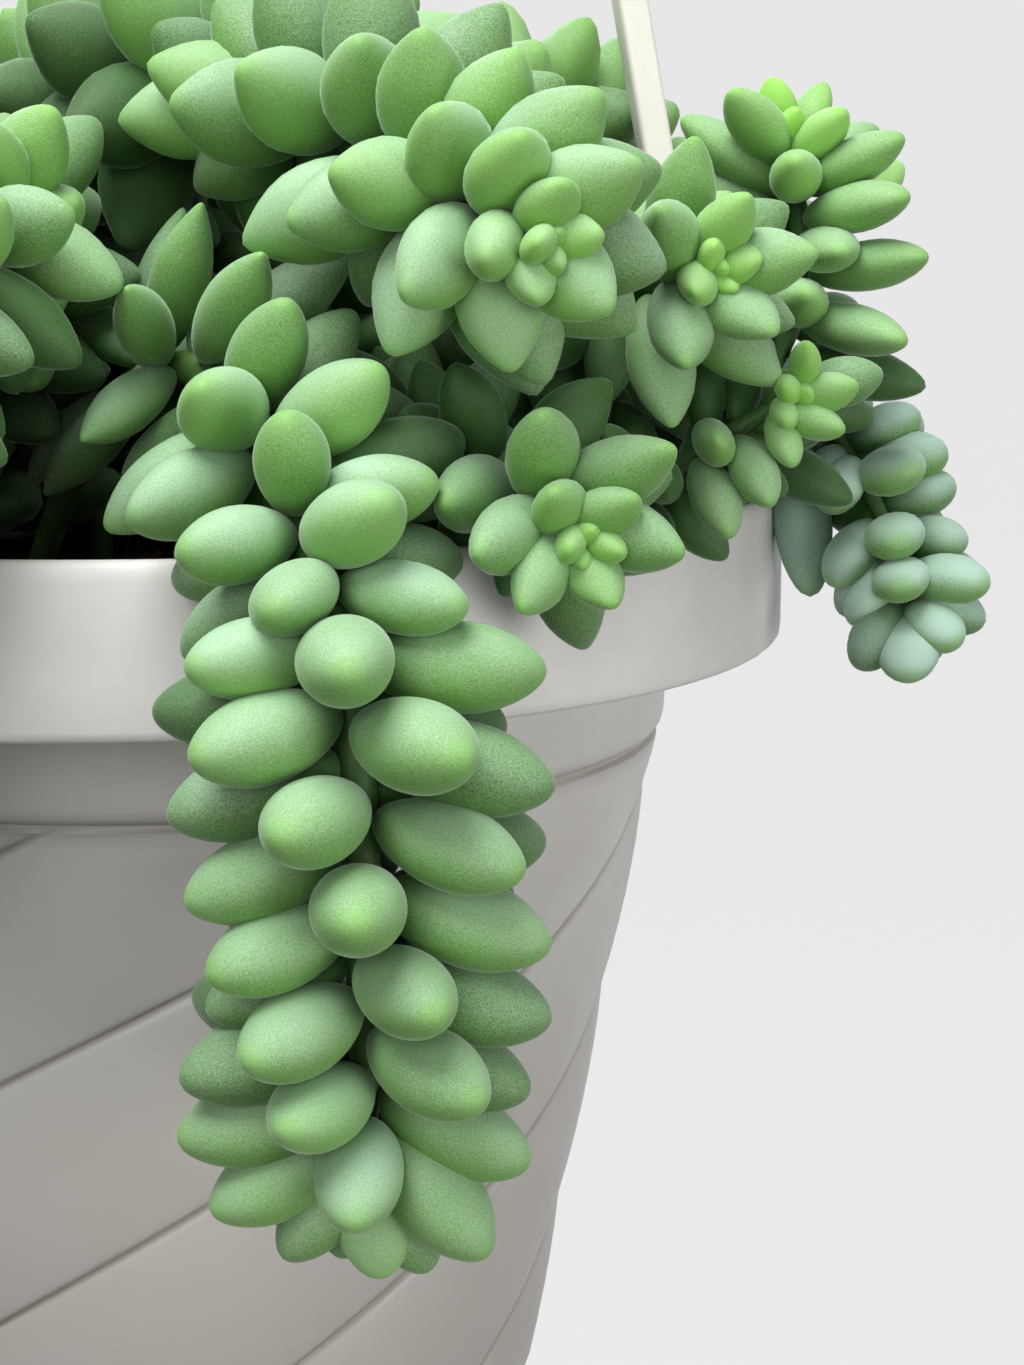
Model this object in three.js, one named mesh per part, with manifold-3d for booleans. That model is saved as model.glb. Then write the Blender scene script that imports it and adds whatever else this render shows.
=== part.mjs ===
// Potted burros tail in a hanging pot, in millimetres, +Z up.
// The origin is at the middle of the pot's underside. The front of the plant faces -Y.
import * as THREE from "three";
import Module from "manifold-3d";

const wasm = await Module();
wasm.setup();

const DEG = Math.PI / 180;
const GOLDEN_ANGLE = 137.508 * DEG;

// Pot
const COLUMNS = 35; // sides of the pot, a whole number for each swirl band
const BANDS = 7;
const BAND_COLUMNS = COLUMNS / BANDS;
const POT_HEIGHT = 150;
const RIM_RADIUS = 100;
const RIM_FOOT_Z = 126; // underside of the rim band
const RIM_INNER_RADIUS = 97.5;
const BASE_RADIUS = 59;
const BODY_RADIUS = 83.3; // where the body meets the rim band
const WALL = 2.6;
const FLOOR = 3.2;
const LEDGE = 2.5;
const EDGE = 2.2; // rounding of the rim's top edge
const RING_GROOVE_Z = 110.5; // the swirl ends at this ring
const SWIRL_RELIEF = [-0.9, 0.25, 0.65, 0.65, 0.25]; // across one band, from its groove
const SWIRL_START = 9 * DEG;
const SWIRL_TURN = 1.58 * DEG; // turn for each mm of drop
const SWIRL_EASE = 0.0015 * DEG;
const SWIRL_ROWS = 16;
const DRAIN_HOLES = 6;
const DRAIN_RADIUS = 4;
const DRAIN_CIRCLE = 38;

// Soil
const GAP = 0.3; // between pieces that touch
const SOIL_EDGE_Z = 133.5;
const SOIL_TOP_Z = 137;
const HOLE_DEPTH_Z = 111.6; // bottom of each stem's hole
const HOLE_RADIUS = 2.95;

// Hanger
const STRAND_ANGLES = [10, 130, 250];
const STRAND_WIDTH = 6.4;
const STRAND_THICKNESS = 5;
const STRAND_BEVEL = 0.9;
const STRAND_FOOT_RADIUS = 93.4;
const STRAND_FOOT_Z = 136.5;
const PEG_Z = 141;
const PEG_RADIUS = 2.2;
const PEG_HOLE_RADIUS = 2.6;
const PEG_HEAD_RADIUS = 4.2;
const HUB_Z = 604;
const HUB_RADIUS = 11;
const HUB_HEIGHT = 18;
const STRAND_TOP_RADIUS = 6.4; // how far from the axis a strand ends in the hub
const HOOK_ROD = 3.2;
const HOOK_BEND = 17;

// Stems and leaves
const CORE_SIDES = 5;
const CORE_STEP = (2 * Math.PI) / CORE_SIDES;
const HOLE_SIDES = 6;
const STEM_ROOT_RADIUS = 2.2;
const STEM_CORE_RADIUS = 4.6; // in the leafy part
const STEM_TIP_RADIUS = 1.7;
const STEM_FOOT_Z = 112;
const STEM_RISE_Z = 141; // a stem is upright below this
const BARE_LENGTH = 26; // stem without leaves above the soil
const BUD_LENGTH = 6;
const LEAF_LENGTH = 19.5;
const LEAF_WIDTH = 15;
const LEAF_THICKNESS = 12.5;
const LEAF_SPACING = 5.2;
const LEAVES_PER_BAND = 2;
const WIDEST_SHARE = 0.54; // where along a leaf it is widest
const TIP_WIDTH = 7.5; // the blunt end of a leaf
// Tries for one leaf: its size and how far it leans to the tip, until it is clear.
const LEAF_TRIES = [
  [1, 0],
  [0.9, 12],
  [0.9, -12],
  [0.8, 26],
  [0.8, -26],
  [0.66, 0],
  [0.6, 40],
];

// A fixed draw between 0 and 1 for a seed and a count.
function draw(seed, n) {
  const x = Math.sin(seed * 12.9898 + n * 78.233) * 43758.5453;
  return x - Math.floor(x);
}

function polar(radius, degrees, z) {
  return [radius * Math.cos(degrees * DEG), radius * Math.sin(degrees * DEG), z];
}

// Solids

function solidFrom(points, triangles) {
  const vertProperties = new Float32Array(points.flatMap((p) => [p.x, p.y, p.z]));
  const triVerts = new Uint32Array(triangles.flat());
  return new wasm.Manifold(new wasm.Mesh({ numProp: 3, vertProperties, triVerts }));
}

// A closed solid through a stack of rings that go anticlockwise seen from the end of the stack.
function stacked(rings, lean = "back") {
  const n = rings[0].length;
  const triangles = [];
  for (let r = 0; r + 1 < rings.length; r++) {
    for (let c = 0; c < n; c++) triangles.push(...bandQuad(r, c, n, lean));
  }
  const points = rings.flat();
  const foot = points.push(middle(rings[0])) - 1;
  const head = points.push(middle(rings.at(-1))) - 1;
  const last = (rings.length - 1) * n;
  for (let c = 0; c < n; c++) {
    const next = (c + 1) % n;
    triangles.push([foot, next, c], [head, last + c, last + next]);
  }
  return solidFrom(points, triangles);
}

// The two triangles of one side between ring r and the next, and which way they are split.
function bandQuad(r, c, n, lean) {
  const [a, b, e, d] = bandCorners(r, c, n);
  if (lean === "forward") {
    return [
      [a, b, e],
      [a, e, d],
    ];
  }
  return [
    [a, b, d],
    [b, e, d],
  ];
}

// The corners of one side between ring r and the next, anticlockwise seen from outside.
function bandCorners(r, c, n) {
  const next = (c + 1) % n;
  return [r * n + c, r * n + next, (r + 1) * n + next, (r + 1) * n + c];
}

function middle(ring) {
  const sum = new THREE.Vector3();
  ring.forEach((p) => sum.add(p));
  return sum.divideScalar(ring.length);
}

function circle(radius, z, sides = COLUMNS, start = SWIRL_START) {
  const ring = [];
  for (let c = 0; c < sides; c++) {
    const angle = start + (c * 2 * Math.PI) / sides;
    ring.push(new THREE.Vector3(radius * Math.cos(angle), radius * Math.sin(angle), z));
  }
  return ring;
}

// A rod with a round section along a list of points, each with its own radius.
function rod(points, radii, sides) {
  const frames = carriedFrames(points);
  const rings = points.map((p, i) => {
    const ring = [];
    for (let k = 0; k < sides; k++) {
      const angle = (k * 2 * Math.PI) / sides;
      ring.push(
        p
          .clone()
          .addScaledVector(frames[i].side, radii[i] * Math.cos(angle))
          .addScaledVector(frames[i].up, radii[i] * Math.sin(angle)),
      );
    }
    return ring;
  });
  return stacked(rings);
}

function meshOf(solid) {
  const made = solid.getMesh();
  const step = made.numProp;
  const count = made.vertProperties.length / step;
  const positions = new Float32Array(count * 3);
  for (let i = 0; i < count; i++) {
    positions.set(made.vertProperties.subarray(i * step, i * step + 3), i * 3);
  }
  const geometry = new THREE.BufferGeometry();
  geometry.setAttribute("position", new THREE.BufferAttribute(positions, 3));
  geometry.setIndex(new THREE.BufferAttribute(new Uint32Array(made.triVerts), 1));
  return geometry;
}

// Pot

function bodyRadius(z) {
  return BASE_RADIUS + ((BODY_RADIUS - BASE_RADIUS) * z) / RIM_FOOT_Z;
}

// Heights at which the swirl's grooves cross the pot's columns, from the ring down.
function swirlHeights() {
  const heights = [];
  for (let row = 0; row < SWIRL_ROWS; row++) {
    const turn = (row * 2 * Math.PI) / COLUMNS;
    const root = Math.sqrt(SWIRL_TURN * SWIRL_TURN - 4 * SWIRL_EASE * turn);
    heights.push(RING_GROOVE_Z - (SWIRL_TURN - root) / (2 * SWIRL_EASE));
  }
  return heights;
}

function swirlRing(z, row) {
  const ring = circle(1, z);
  return ring.map((p, c) => {
    const relief = SWIRL_RELIEF[(c + row) % BAND_COLUMNS];
    const radius = bodyRadius(z) + relief;
    return new THREE.Vector3(p.x * radius, p.y * radius, z);
  });
}

function makePot() {
  const heights = swirlHeights();
  const outer = [circle(BASE_RADIUS - 1, 0)];
  for (let row = heights.length - 1; row > 0; row--) outer.push(swirlRing(heights[row], row));
  outer.push(circle(bodyRadius(RING_GROOVE_Z) - 0.6, RING_GROOVE_Z));
  outer.push(circle(bodyRadius(RING_GROOVE_Z) + 0.5, RING_GROOVE_Z + 1.6));
  outer.push(circle(BODY_RADIUS, RIM_FOOT_Z));
  outer.push(circle(RIM_RADIUS - 1, RIM_FOOT_Z));
  outer.push(circle(RIM_RADIUS, RIM_FOOT_Z + 1));
  outer.push(circle(RIM_RADIUS, POT_HEIGHT - EDGE));
  outer.push(circle(RIM_RADIUS - 0.7, POT_HEIGHT - 0.7));
  outer.push(circle(RIM_RADIUS - EDGE, POT_HEIGHT));
  const inner = [
    circle(bodyRadius(FLOOR) - WALL, FLOOR),
    circle(BODY_RADIUS - WALL, RIM_FOOT_Z + LEDGE),
    circle(RIM_INNER_RADIUS, RIM_FOOT_Z + LEDGE),
    circle(RIM_INNER_RADIUS, POT_HEIGHT + 1),
  ];
  let pot = stacked(outer, "forward").subtract(stacked(inner));
  for (let k = 0; k < DRAIN_HOLES; k++) {
    const [x, y] = polar(DRAIN_CIRCLE, 30 + (k * 360) / DRAIN_HOLES, 0);
    const rings = [-1, FLOOR + 1].map((z) =>
      circle(DRAIN_RADIUS, z, 8).map((p) => new THREE.Vector3(p.x + x, p.y + y, z)),
    );
    pot = pot.subtract(stacked(rings));
  }
  for (const angle of STRAND_ANGLES) {
    const ends = [RIM_INNER_RADIUS - 4, RIM_RADIUS + 4];
    const line = ends.map((r) => new THREE.Vector3(...polar(r, angle, PEG_Z)));
    pot = pot.subtract(rod(line, [PEG_HOLE_RADIUS, PEG_HOLE_RADIUS], 8));
  }
  return pot;
}

// Soil

function makeSoil(stems) {
  const rings = [
    circle(bodyRadius(FLOOR) - WALL - GAP, FLOOR + GAP),
    circle(BODY_RADIUS - WALL - GAP, RIM_FOOT_Z + LEDGE + GAP),
    circle(RIM_INNER_RADIUS - GAP, RIM_FOOT_Z + LEDGE + GAP),
    circle(RIM_INNER_RADIUS - GAP, SOIL_EDGE_Z),
    circle(64, SOIL_TOP_Z),
  ];
  let soil = stacked(rings);
  for (const stem of stems) {
    const [x, y] = stem.points[0];
    const hole = [HOLE_DEPTH_Z, SOIL_TOP_Z + 9].map((z) =>
      circle(HOLE_RADIUS, z, HOLE_SIDES, 0).map((p) => new THREE.Vector3(p.x + x, p.y + y, z)),
    );
    soil = soil.subtract(stacked(hole));
  }
  return soil;
}

// Hanger

// A flat bar between two points, its flat faces turned to and from the axis. A bevel of 0 leaves
// its edges square, and grow widens it all round.
function flatBar(from, to, angle, bevel, grow) {
  const along = to.clone().sub(from).normalize();
  const side = new THREE.Vector3(-Math.sin(angle * DEG), Math.cos(angle * DEG), 0);
  const out = new THREE.Vector3().crossVectors(side, along);
  const w = STRAND_WIDTH / 2 + grow;
  const t = STRAND_THICKNESS / 2 + grow;
  const square = [
    [w, t],
    [w, -t],
    [-w, -t],
    [-w, t],
  ];
  const bevelled = [
    [w, t - bevel],
    [w, -t + bevel],
    [w - bevel, -t],
    [-w + bevel, -t],
    [-w, -t + bevel],
    [-w, t - bevel],
    [-w + bevel, t],
    [w - bevel, t],
  ];
  const section = bevel > 0 ? bevelled : square;
  const ringAt = (p) =>
    section.map(([a, b]) => p.clone().addScaledVector(side, a).addScaledVector(out, b));
  return stacked([ringAt(from), ringAt(to)]);
}

function strandEnds(angle) {
  return [
    new THREE.Vector3(...polar(STRAND_FOOT_RADIUS, angle, STRAND_FOOT_Z)),
    new THREE.Vector3(...polar(STRAND_TOP_RADIUS, angle, HUB_Z)),
  ];
}

function makeStrand(angle) {
  const [foot, top] = strandEnds(angle);
  const line = (radii) => radii.map((r) => new THREE.Vector3(...polar(r, angle, PEG_Z)));
  const headStart = RIM_RADIUS + GAP;
  const peg = rod(line([STRAND_FOOT_RADIUS - 1, headStart + 1]), [PEG_RADIUS, PEG_RADIUS], 8);
  const head = rod(
    line([headStart, headStart + 1.4, headStart + 2.4]),
    [PEG_HEAD_RADIUS, PEG_HEAD_RADIUS, 2.4],
    10,
  );
  return flatBar(foot, top, angle, STRAND_BEVEL, 0).add(peg).add(head);
}

// The hub with a socket for each strand, and the open hook on top of it.
function makeHook() {
  const low = HUB_Z - 9;
  const hubRings = [
    circle(HUB_RADIUS - 2, low, 20),
    circle(HUB_RADIUS, low + 2, 20),
    circle(HUB_RADIUS, low + HUB_HEIGHT - 6, 20),
    circle(HOOK_ROD + 1.5, low + HUB_HEIGHT, 20),
  ];
  const points = [];
  const neck = low + HUB_HEIGHT + 12;
  points.push(new THREE.Vector3(0, 0, low + HUB_HEIGHT - 4));
  points.push(new THREE.Vector3(0, 0, neck));
  // The shank leans out and the bend comes back over the axis.
  const centre = new THREE.Vector3(0, 0, neck + HOOK_BEND + 6);
  for (let k = 0; k <= 13; k++) {
    const angle = (-62 + k * 20) * DEG;
    points.push(
      new THREE.Vector3(
        centre.x + HOOK_BEND * Math.cos(angle),
        0,
        centre.z + HOOK_BEND * Math.sin(angle),
      ),
    );
  }
  const radii = points.map(() => HOOK_ROD);
  radii[radii.length - 1] = HOOK_ROD * 0.75;
  let hook = stacked(hubRings).add(rod(points, radii, 8));
  for (const angle of STRAND_ANGLES) {
    const [foot, top] = strandEnds(angle);
    const along = top.clone().sub(foot).normalize();
    const from = top.clone().addScaledVector(along, -24);
    const to = top.clone().addScaledVector(along, GAP);
    hook = hook.subtract(flatBar(from, to, angle, 0, GAP));
  }
  return hook;
}

// Stems

// A smooth line through the points, as points 1 mm apart. It starts upright out of the soil.
function route([start, ...rest]) {
  const rise = [start[0], start[1], STEM_RISE_Z];
  const p = [start, rise, ...rest].map((q) => new THREE.Vector3(...q));
  const first = p[0].clone().multiplyScalar(2).sub(p[1]);
  const last = p.at(-1).clone().multiplyScalar(2).sub(p.at(-2));
  const all = [first, ...p, last];
  const dense = [];
  for (let i = 1; i < all.length - 2; i++) {
    const [a, b, c, d] = [all[i - 1], all[i], all[i + 1], all[i + 2]];
    for (let k = 0; k < 40; k++) {
      const t = k / 40;
      dense.push(
        new THREE.Vector3()
          .addScaledVector(a, 0.5 * (-t + 2 * t * t - t * t * t))
          .addScaledVector(b, 0.5 * (2 - 5 * t * t + 3 * t * t * t))
          .addScaledVector(c, 0.5 * (t + 4 * t * t - 3 * t * t * t))
          .addScaledVector(d, 0.5 * (-t * t + t * t * t)),
      );
    }
  }
  dense.push(p.at(-1).clone());
  const even = [dense[0]];
  let walked = 0;
  for (let i = 1; i < dense.length; i++) {
    const span = dense[i].distanceTo(dense[i - 1]);
    while (walked + span >= even.length) {
      const share = (even.length - walked) / span;
      even.push(dense[i - 1].clone().lerp(dense[i], share));
    }
    walked += span;
  }
  return even;
}

// Directions along a line, with a side direction carried along it without twist.
function carriedFrames(points) {
  const frames = [];
  let side = null;
  points.forEach((p, i) => {
    const before = points[Math.max(0, i - 1)];
    const after = points[Math.min(points.length - 1, i + 1)];
    const along = after.clone().sub(before).normalize();
    if (!side) side = new THREE.Vector3(0.3, 0.1, 1).cross(along).negate();
    if (side.length() < 1e-3) side = new THREE.Vector3(1, 0, 0);
    side = side.clone().addScaledVector(along, -side.dot(along)).normalize();
    frames.push({ along, side, up: new THREE.Vector3().crossVectors(along, side) });
  });
  return frames;
}

// The core's radius at a distance from the tip.
function coreRadius(stem, fromTip, length) {
  const leafy = STEM_CORE_RADIUS * stem.scale;
  const spread = Math.min(1, Math.max(0, (length - fromTip - 8) / 24));
  const body = STEM_ROOT_RADIUS + (leafy - STEM_ROOT_RADIUS) * spread;
  const tip = STEM_TIP_RADIUS * stem.scale;
  return tip + (body - tip) * Math.min(1, fromTip / (22 * stem.scale));
}

// Distances from the tip at which the core's rings stand: close together at the tip.
function ringDistances(stem, length) {
  const distances = [0];
  let walked = 0;
  const band = LEAVES_PER_BAND * LEAF_SPACING * stem.scale;
  for (let m = 0; walked < length - BARE_LENGTH; m++) {
    walked += band * (0.45 + 0.55 * (1 - Math.exp(-m / 2)));
    distances.push(walked);
  }
  return distances;
}

// The rings of a stem's core from the tip back. Each is turned a little on the one before, so that
// every second side holds a leaf at the golden angle to the last.
function coreRings(stem) {
  const length = stem.line.length - 1;
  const frames = carriedFrames(stem.line);
  const slip = stem.spin * LEAVES_PER_BAND * (GOLDEN_ANGLE - 2 * CORE_STEP);
  return stem.distances.map((fromTip, i) => {
    const at = Math.max(0, Math.round(length - fromTip));
    const radius = coreRadius(stem, fromTip, length);
    return { centre: stem.line[at], radius, turn: stem.phase * DEG + slip * i, ...frames[at] };
  });
}

function ringPoints({ centre, radius, turn, side, up }) {
  const ring = [];
  for (let k = 0; k < CORE_SIDES; k++) {
    const angle = turn + (k - 0.5) * CORE_STEP;
    ring.push(
      centre
        .clone()
        .addScaledVector(side, radius * Math.cos(angle))
        .addScaledVector(up, radius * Math.sin(angle)),
    );
  }
  return ring;
}

// A stem before its leaves, with its rings from the foot in the soil to the bud.
function planStem(stem) {
  const length = stem.line.length - 1;
  const frames = carriedFrames(stem.line);
  stem.distances = ringDistances(stem, length);
  stem.leafRings = coreRings(stem);
  const first = stem.leafRings[0];
  const last = stem.leafRings.at(-1);
  const bud = {
    ...first,
    centre: first.centre.clone().addScaledVector(first.along, 0.4 * BUD_LENGTH * stem.scale),
    radius: first.radius * 1.25,
  };
  const bareEnd = length - stem.distances.at(-1);
  const bare = [0, 9, (9 + bareEnd) / 2].map((walked) => {
    const at = Math.round(walked);
    const radius = coreRadius(stem, length - at, length);
    return { centre: stem.line[at], radius, turn: last.turn, ...frames[at] };
  });
  const foot = { ...bare[0], centre: stem.line[0].clone().setZ(STEM_FOOT_Z) };
  stem.rings = [foot, ...bare, ...stem.leafRings.toReversed(), bud].map(ringPoints);
  stem.leafCount = LEAVES_PER_BAND * (stem.distances.length - 1);
  stem.corePoints = stem.rings.flat();
  stem.core = stacked(stem.rings);
  stem.pieces = [{ solid: stem.core, box: boxOf(stem.core) }];
}

// A leaf that grows out of one side of the core. corners are the four points of that side,
// anticlockwise seen from outside, and its own points are a widest ring and the blunt tip's edge.
function makeLeaf(corners, start, direction, wide, size) {
  const thick = new THREE.Vector3().crossVectors(direction, wide).normalize();
  const at = (share, w, t) =>
    start
      .clone()
      .addScaledVector(direction, share * LEAF_LENGTH * size)
      .addScaledVector(wide, w * size)
      .addScaledVector(thick, t * size);
  const grown = [
    at(WIDEST_SHARE, 0, -LEAF_THICKNESS / 2),
    at(WIDEST_SHARE, LEAF_WIDTH / 2, 0),
    at(WIDEST_SHARE, 0, LEAF_THICKNESS / 2),
    at(WIDEST_SHARE, -LEAF_WIDTH / 2, 0),
    at(1, TIP_WIDTH / 2, 0),
    at(1, -TIP_WIDTH / 2, 0),
  ];
  const points = [...corners, ...grown];
  const cap = [
    [0, 3, 1],
    [1, 3, 2],
  ];
  const solid = solidFrom(points, [...cap, ...leafTriangles([0, 1, 2, 3], 4)]);
  return { solid, grown, box: new THREE.Box3().setFromPoints(points) };
}

// A leaf's triangles from the numbers of its four root points and of its first grown point.
function leafTriangles(root, first) {
  const triangles = [];
  const right = first + 4;
  const left = first + 5;
  for (let k = 0; k < 4; k++) {
    const next = (k + 1) % 4;
    const end = k < 2 ? right : left;
    triangles.push([root[k], root[next], first + k], [root[next], first + next, first + k]);
    triangles.push([first + k, first + next, end]);
  }
  triangles.push([right, first + 2, left], [left, first, right]);
  return triangles;
}

function near(a, b, gap) {
  return a.clone().expandByScalar(gap).intersectsBox(b);
}

function isClear(leaf, others) {
  return others.every(
    (o) => !near(leaf.box, o.box, GAP) || leaf.solid.minGap(o.solid, GAP * 2) >= GAP,
  );
}

// Leaves of one stem may touch at their roots but don't cross.
function isFree(leaf, own) {
  return own.every(
    (o) => !near(leaf.box, o.box, 0) || leaf.solid.intersect(o.solid).volume() < 1e-4,
  );
}

// Where leaf n of a stem starts, which way it points and how big it is.
function leafPlace(stem, n) {
  const m = Math.floor(n / LEAVES_PER_BAND);
  const { centre, along } = stem.leafRings[m];
  const height = stem.distances[m + 1] - stem.distances[m];
  const fromTip = stem.distances[m] + (n % 2) * 0.5 * height;
  const corners = bandCorners(bandOfLeaf(stem, n), leafSide(stem, n), CORE_SIDES).map(
    (i) => stem.corePoints[i],
  );
  const start = middle(corners);
  const out = start.clone().sub(centre.clone().lerp(stem.leafRings[m + 1].centre, 0.5));
  out.addScaledVector(along, -out.dot(along)).normalize();
  const wide = new THREE.Vector3().crossVectors(along, out).normalize();
  out.addScaledVector(wide, 0.24 * (draw(stem.seed, n) - 0.5)).normalize();
  wide.crossVectors(along, out).normalize();
  start.addScaledVector(along, (n % 2 ? -0.2 : 0.2) * height);
  const grown = 1 - Math.exp(-(fromTip + 4.6) / 8.5);
  const wander = 8 * (draw(stem.seed, n + 500) - 0.5);
  const open = 16 + 64 * (1 - Math.exp(-(fromTip + 2) / 11)) + wander;
  const size = stem.scale * grown * (0.94 + 0.12 * draw(stem.seed, n + 900));
  return { corners, start, along, out, wide, open, size };
}

// The first try of a stem's leaf number n that is clear of everything else, or null.
function placeLeaf(stem, n, others) {
  const { corners, start, along, out, wide, open, size } = leafPlace(stem, n);
  for (const [shrink, lean] of LEAF_TRIES) {
    const opened = Math.max(10, open - lean) * DEG;
    const direction = along
      .clone()
      .multiplyScalar(Math.cos(opened))
      .addScaledVector(out, Math.sin(opened));
    const leaf = makeLeaf(corners, start, direction, wide, size * shrink);
    if (isFree(leaf, stem.pieces) && isClear(leaf, others)) return leaf;
  }
  return null;
}

function bandOfLeaf(stem, n) {
  return stem.rings.length - 3 - Math.floor(n / LEAVES_PER_BAND);
}

// Which side of the core leaf n grows from: two sides on from the one before.
function leafSide(stem, n) {
  const steps = stem.spin > 0 ? 2 * n : 3 * n;
  return steps % CORE_SIDES;
}

// The whole stem: core and leaves as one surface, with each leaf in place of one side of the core.
function makeStem(stem, others) {
  const points = stem.rings.flat();
  const triangles = [];
  const leafAt = new Map();
  for (let n = 0; n < stem.leafCount; n++) {
    const leaf = placeLeaf(stem, n, others);
    if (!leaf) continue;
    stem.pieces.push(leaf);
    leafAt.set(bandOfLeaf(stem, n) * CORE_SIDES + leafSide(stem, n), leaf);
  }
  const bands = stem.rings.length - 1;
  for (let r = 0; r < bands; r++) {
    for (let c = 0; c < CORE_SIDES; c++) {
      const leaf = leafAt.get(r * CORE_SIDES + c);
      if (!leaf) {
        triangles.push(...bandQuad(r, c, CORE_SIDES, "back"));
        continue;
      }
      const first = points.length;
      points.push(...leaf.grown);
      triangles.push(...leafTriangles(bandCorners(r, c, CORE_SIDES), first));
    }
  }
  const tip = stem.line.at(-1);
  const { along } = stem.leafRings[0];
  const head = points.push(tip.clone().addScaledVector(along, BUD_LENGTH * stem.scale)) - 1;
  const foot = points.push(middle(stem.rings[0])) - 1;
  for (let c = 0; c < CORE_SIDES; c++) {
    const next = (c + 1) % CORE_SIDES;
    const last = bands * CORE_SIDES;
    triangles.push([foot, next, c], [head, last + c, last + next]);
  }
  return solidFrom(points, triangles);
}

// Routes, each from the soil to the tip. Those of the stems in view follow the photo.
const STEMS = [
  {
    name: "front_trail",
    points: [
      [-14, -38, 132],
      [0, -56, 161],
      [14, -77, 170],
      [22, -90, 164],
      [28, -102, 158],
      [33, -112, 147],
      [36, -116, 133],
      [36, -116, 116],
      [36, -113, 98],
      [35, -110, 82],
      [35, -108, 72],
    ],
    scale: 1,
    phase: 0,
    spin: 1,
  },
  {
    name: "arch",
    points: [
      [-10, -2, 132],
      [-14, -2, 175],
      [-8, -12, 206],
      [18, -44, 209],
      [42, -84, 200],
      [61, -116, 189],
    ],
    scale: 1,
    phase: 40,
    spin: 1,
  },
  {
    name: "right_a",
    points: [
      [38, -22, 132],
      [50, -32, 162],
      [66, -56, 179],
      [83, -86, 187],
    ],
    scale: 0.85,
    phase: 0,
    spin: -1,
  },
  {
    name: "right_b",
    points: [
      [60, -26, 132],
      [74, -32, 148],
      [90, -36, 163],
      [99, -38, 183],
      [96, -40, 203],
    ],
    scale: 0.82,
    phase: 0,
    spin: 1,
  },
  {
    name: "lip",
    points: [
      [20, -34, 132],
      [34, -56, 154],
      [49, -82, 157],
      [65, -108, 150],
    ],
    scale: 0.8,
    phase: 0,
    spin: -1,
  },
  {
    name: "side_shoot",
    points: [
      [50, -46, 132],
      [64, -60, 148],
      [79, -68, 157],
      [91, -72, 162],
    ],
    scale: 0.6,
    phase: 0,
    spin: -1,
  },
  {
    name: "droop",
    points: [
      [70, -8, 132],
      [86, -14, 156],
      [102, -21, 163],
      [113, -27, 153],
      [119, -31, 140],
      [121, -33, 130],
    ],
    scale: 0.66,
    phase: 0,
    spin: 1,
  },
  {
    name: "left_near",
    points: [
      [-30, -44, 132],
      [-20, -58, 172],
      [-12, -76, 191],
      [-13, -94, 191],
      [-21, -111, 178],
      [-31, -119, 158],
      [-37, -119, 134],
      [-39, -116, 108],
    ],
    scale: 0.88,
    phase: 0,
    spin: 1,
  },
];

// Stems that hang over the rim: direction and how far below the rim they end.
const TRAILS = [
  [50, 95],
  [75, 48],
  [99, 110],
  [147, 84],
  [170, 120],
  [193, 56],
  [217, 100],
];
TRAILS.forEach(([angle, drop], k) => {
  STEMS.push({
    name: "trail_" + (k + 1),
    points: [
      polar(54, angle - 6, 132),
      polar(70, angle - 3, 157),
      polar(98, angle, 163),
      polar(114, angle, 148),
      polar(118, angle, 128),
      polar(115, angle + 1, 138 - drop / 2),
      polar(112, angle + 2, 150 - drop),
    ],
    scale: 0.95,
    phase: 37 * k,
    spin: k % 2 ? 1 : -1,
  });
});

// Shorter stems that lie out over the rim: direction, and the radius and direction of the root.
const SHORTS = [
  [52, 44, 34],
  [87, 42, 81],
  [122, 42, 112],
  [160, 42, 154],
  [205, 42, 196],
];
SHORTS.forEach(([angle, radius, rootAngle], k) => {
  STEMS.push({
    name: "short_" + (k + 1),
    points: [
      polar(radius, rootAngle, 132),
      polar(radius + 9, (angle + rootAngle) / 2, 166),
      polar(76, angle, 185),
      polar(102, angle - 2, 187),
      polar(119, angle - 3, 173),
    ],
    scale: 0.9,
    phase: 71 * k,
    spin: k % 2 ? -1 : 1,
  });
});

// Stems of the top of the mound: direction, radius and direction of the root, and height.
const TOPS = [
  [32, 30, 36, 204],
  [72, 24, 76, 214],
  [112, 30, 124, 208],
  [175, 32, 173, 212],
  [222, 33, 213, 213],
];
TOPS.forEach(([angle, radius, rootAngle, height], k) => {
  STEMS.push({
    name: "top_" + (k + 1),
    points: [
      polar(radius, rootAngle, 132),
      polar(radius + 7, (angle + rootAngle) / 2, 176),
      polar(radius + 24, angle, height - 3),
      polar(76, angle - 3, height),
      polar(92, angle - 4, height - 11),
    ],
    scale: 0.95,
    phase: 53 * k,
    spin: k % 2 ? 1 : -1,
  });
});

STEMS.push({
  name: "crown",
  points: [
    [12, 10, 132],
    [12, 10, 175],
    [10, 14, 212],
    [4, 20, 238],
  ],
  scale: 0.9,
  phase: 0,
  spin: 1,
});

// Assembly

const potted_burros_tail = new THREE.Group();
potted_burros_tail.name = "potted_burros_tail";

const COLOURS = { pot: 0xe6e3de, hanger: 0xefeadb, soil: 0x2e2a22, stem: 0x7fa36a };

function addPiece(name, solid, colour) {
  const material = new THREE.MeshStandardMaterial({ color: colour, flatShading: true });
  const mesh = new THREE.Mesh(meshOf(solid), material);
  mesh.name = name;
  potted_burros_tail.add(mesh);
}

const boxOf = (solid) => {
  const { min, max } = solid.boundingBox();
  return new THREE.Box3(new THREE.Vector3(...min), new THREE.Vector3(...max));
};

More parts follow.
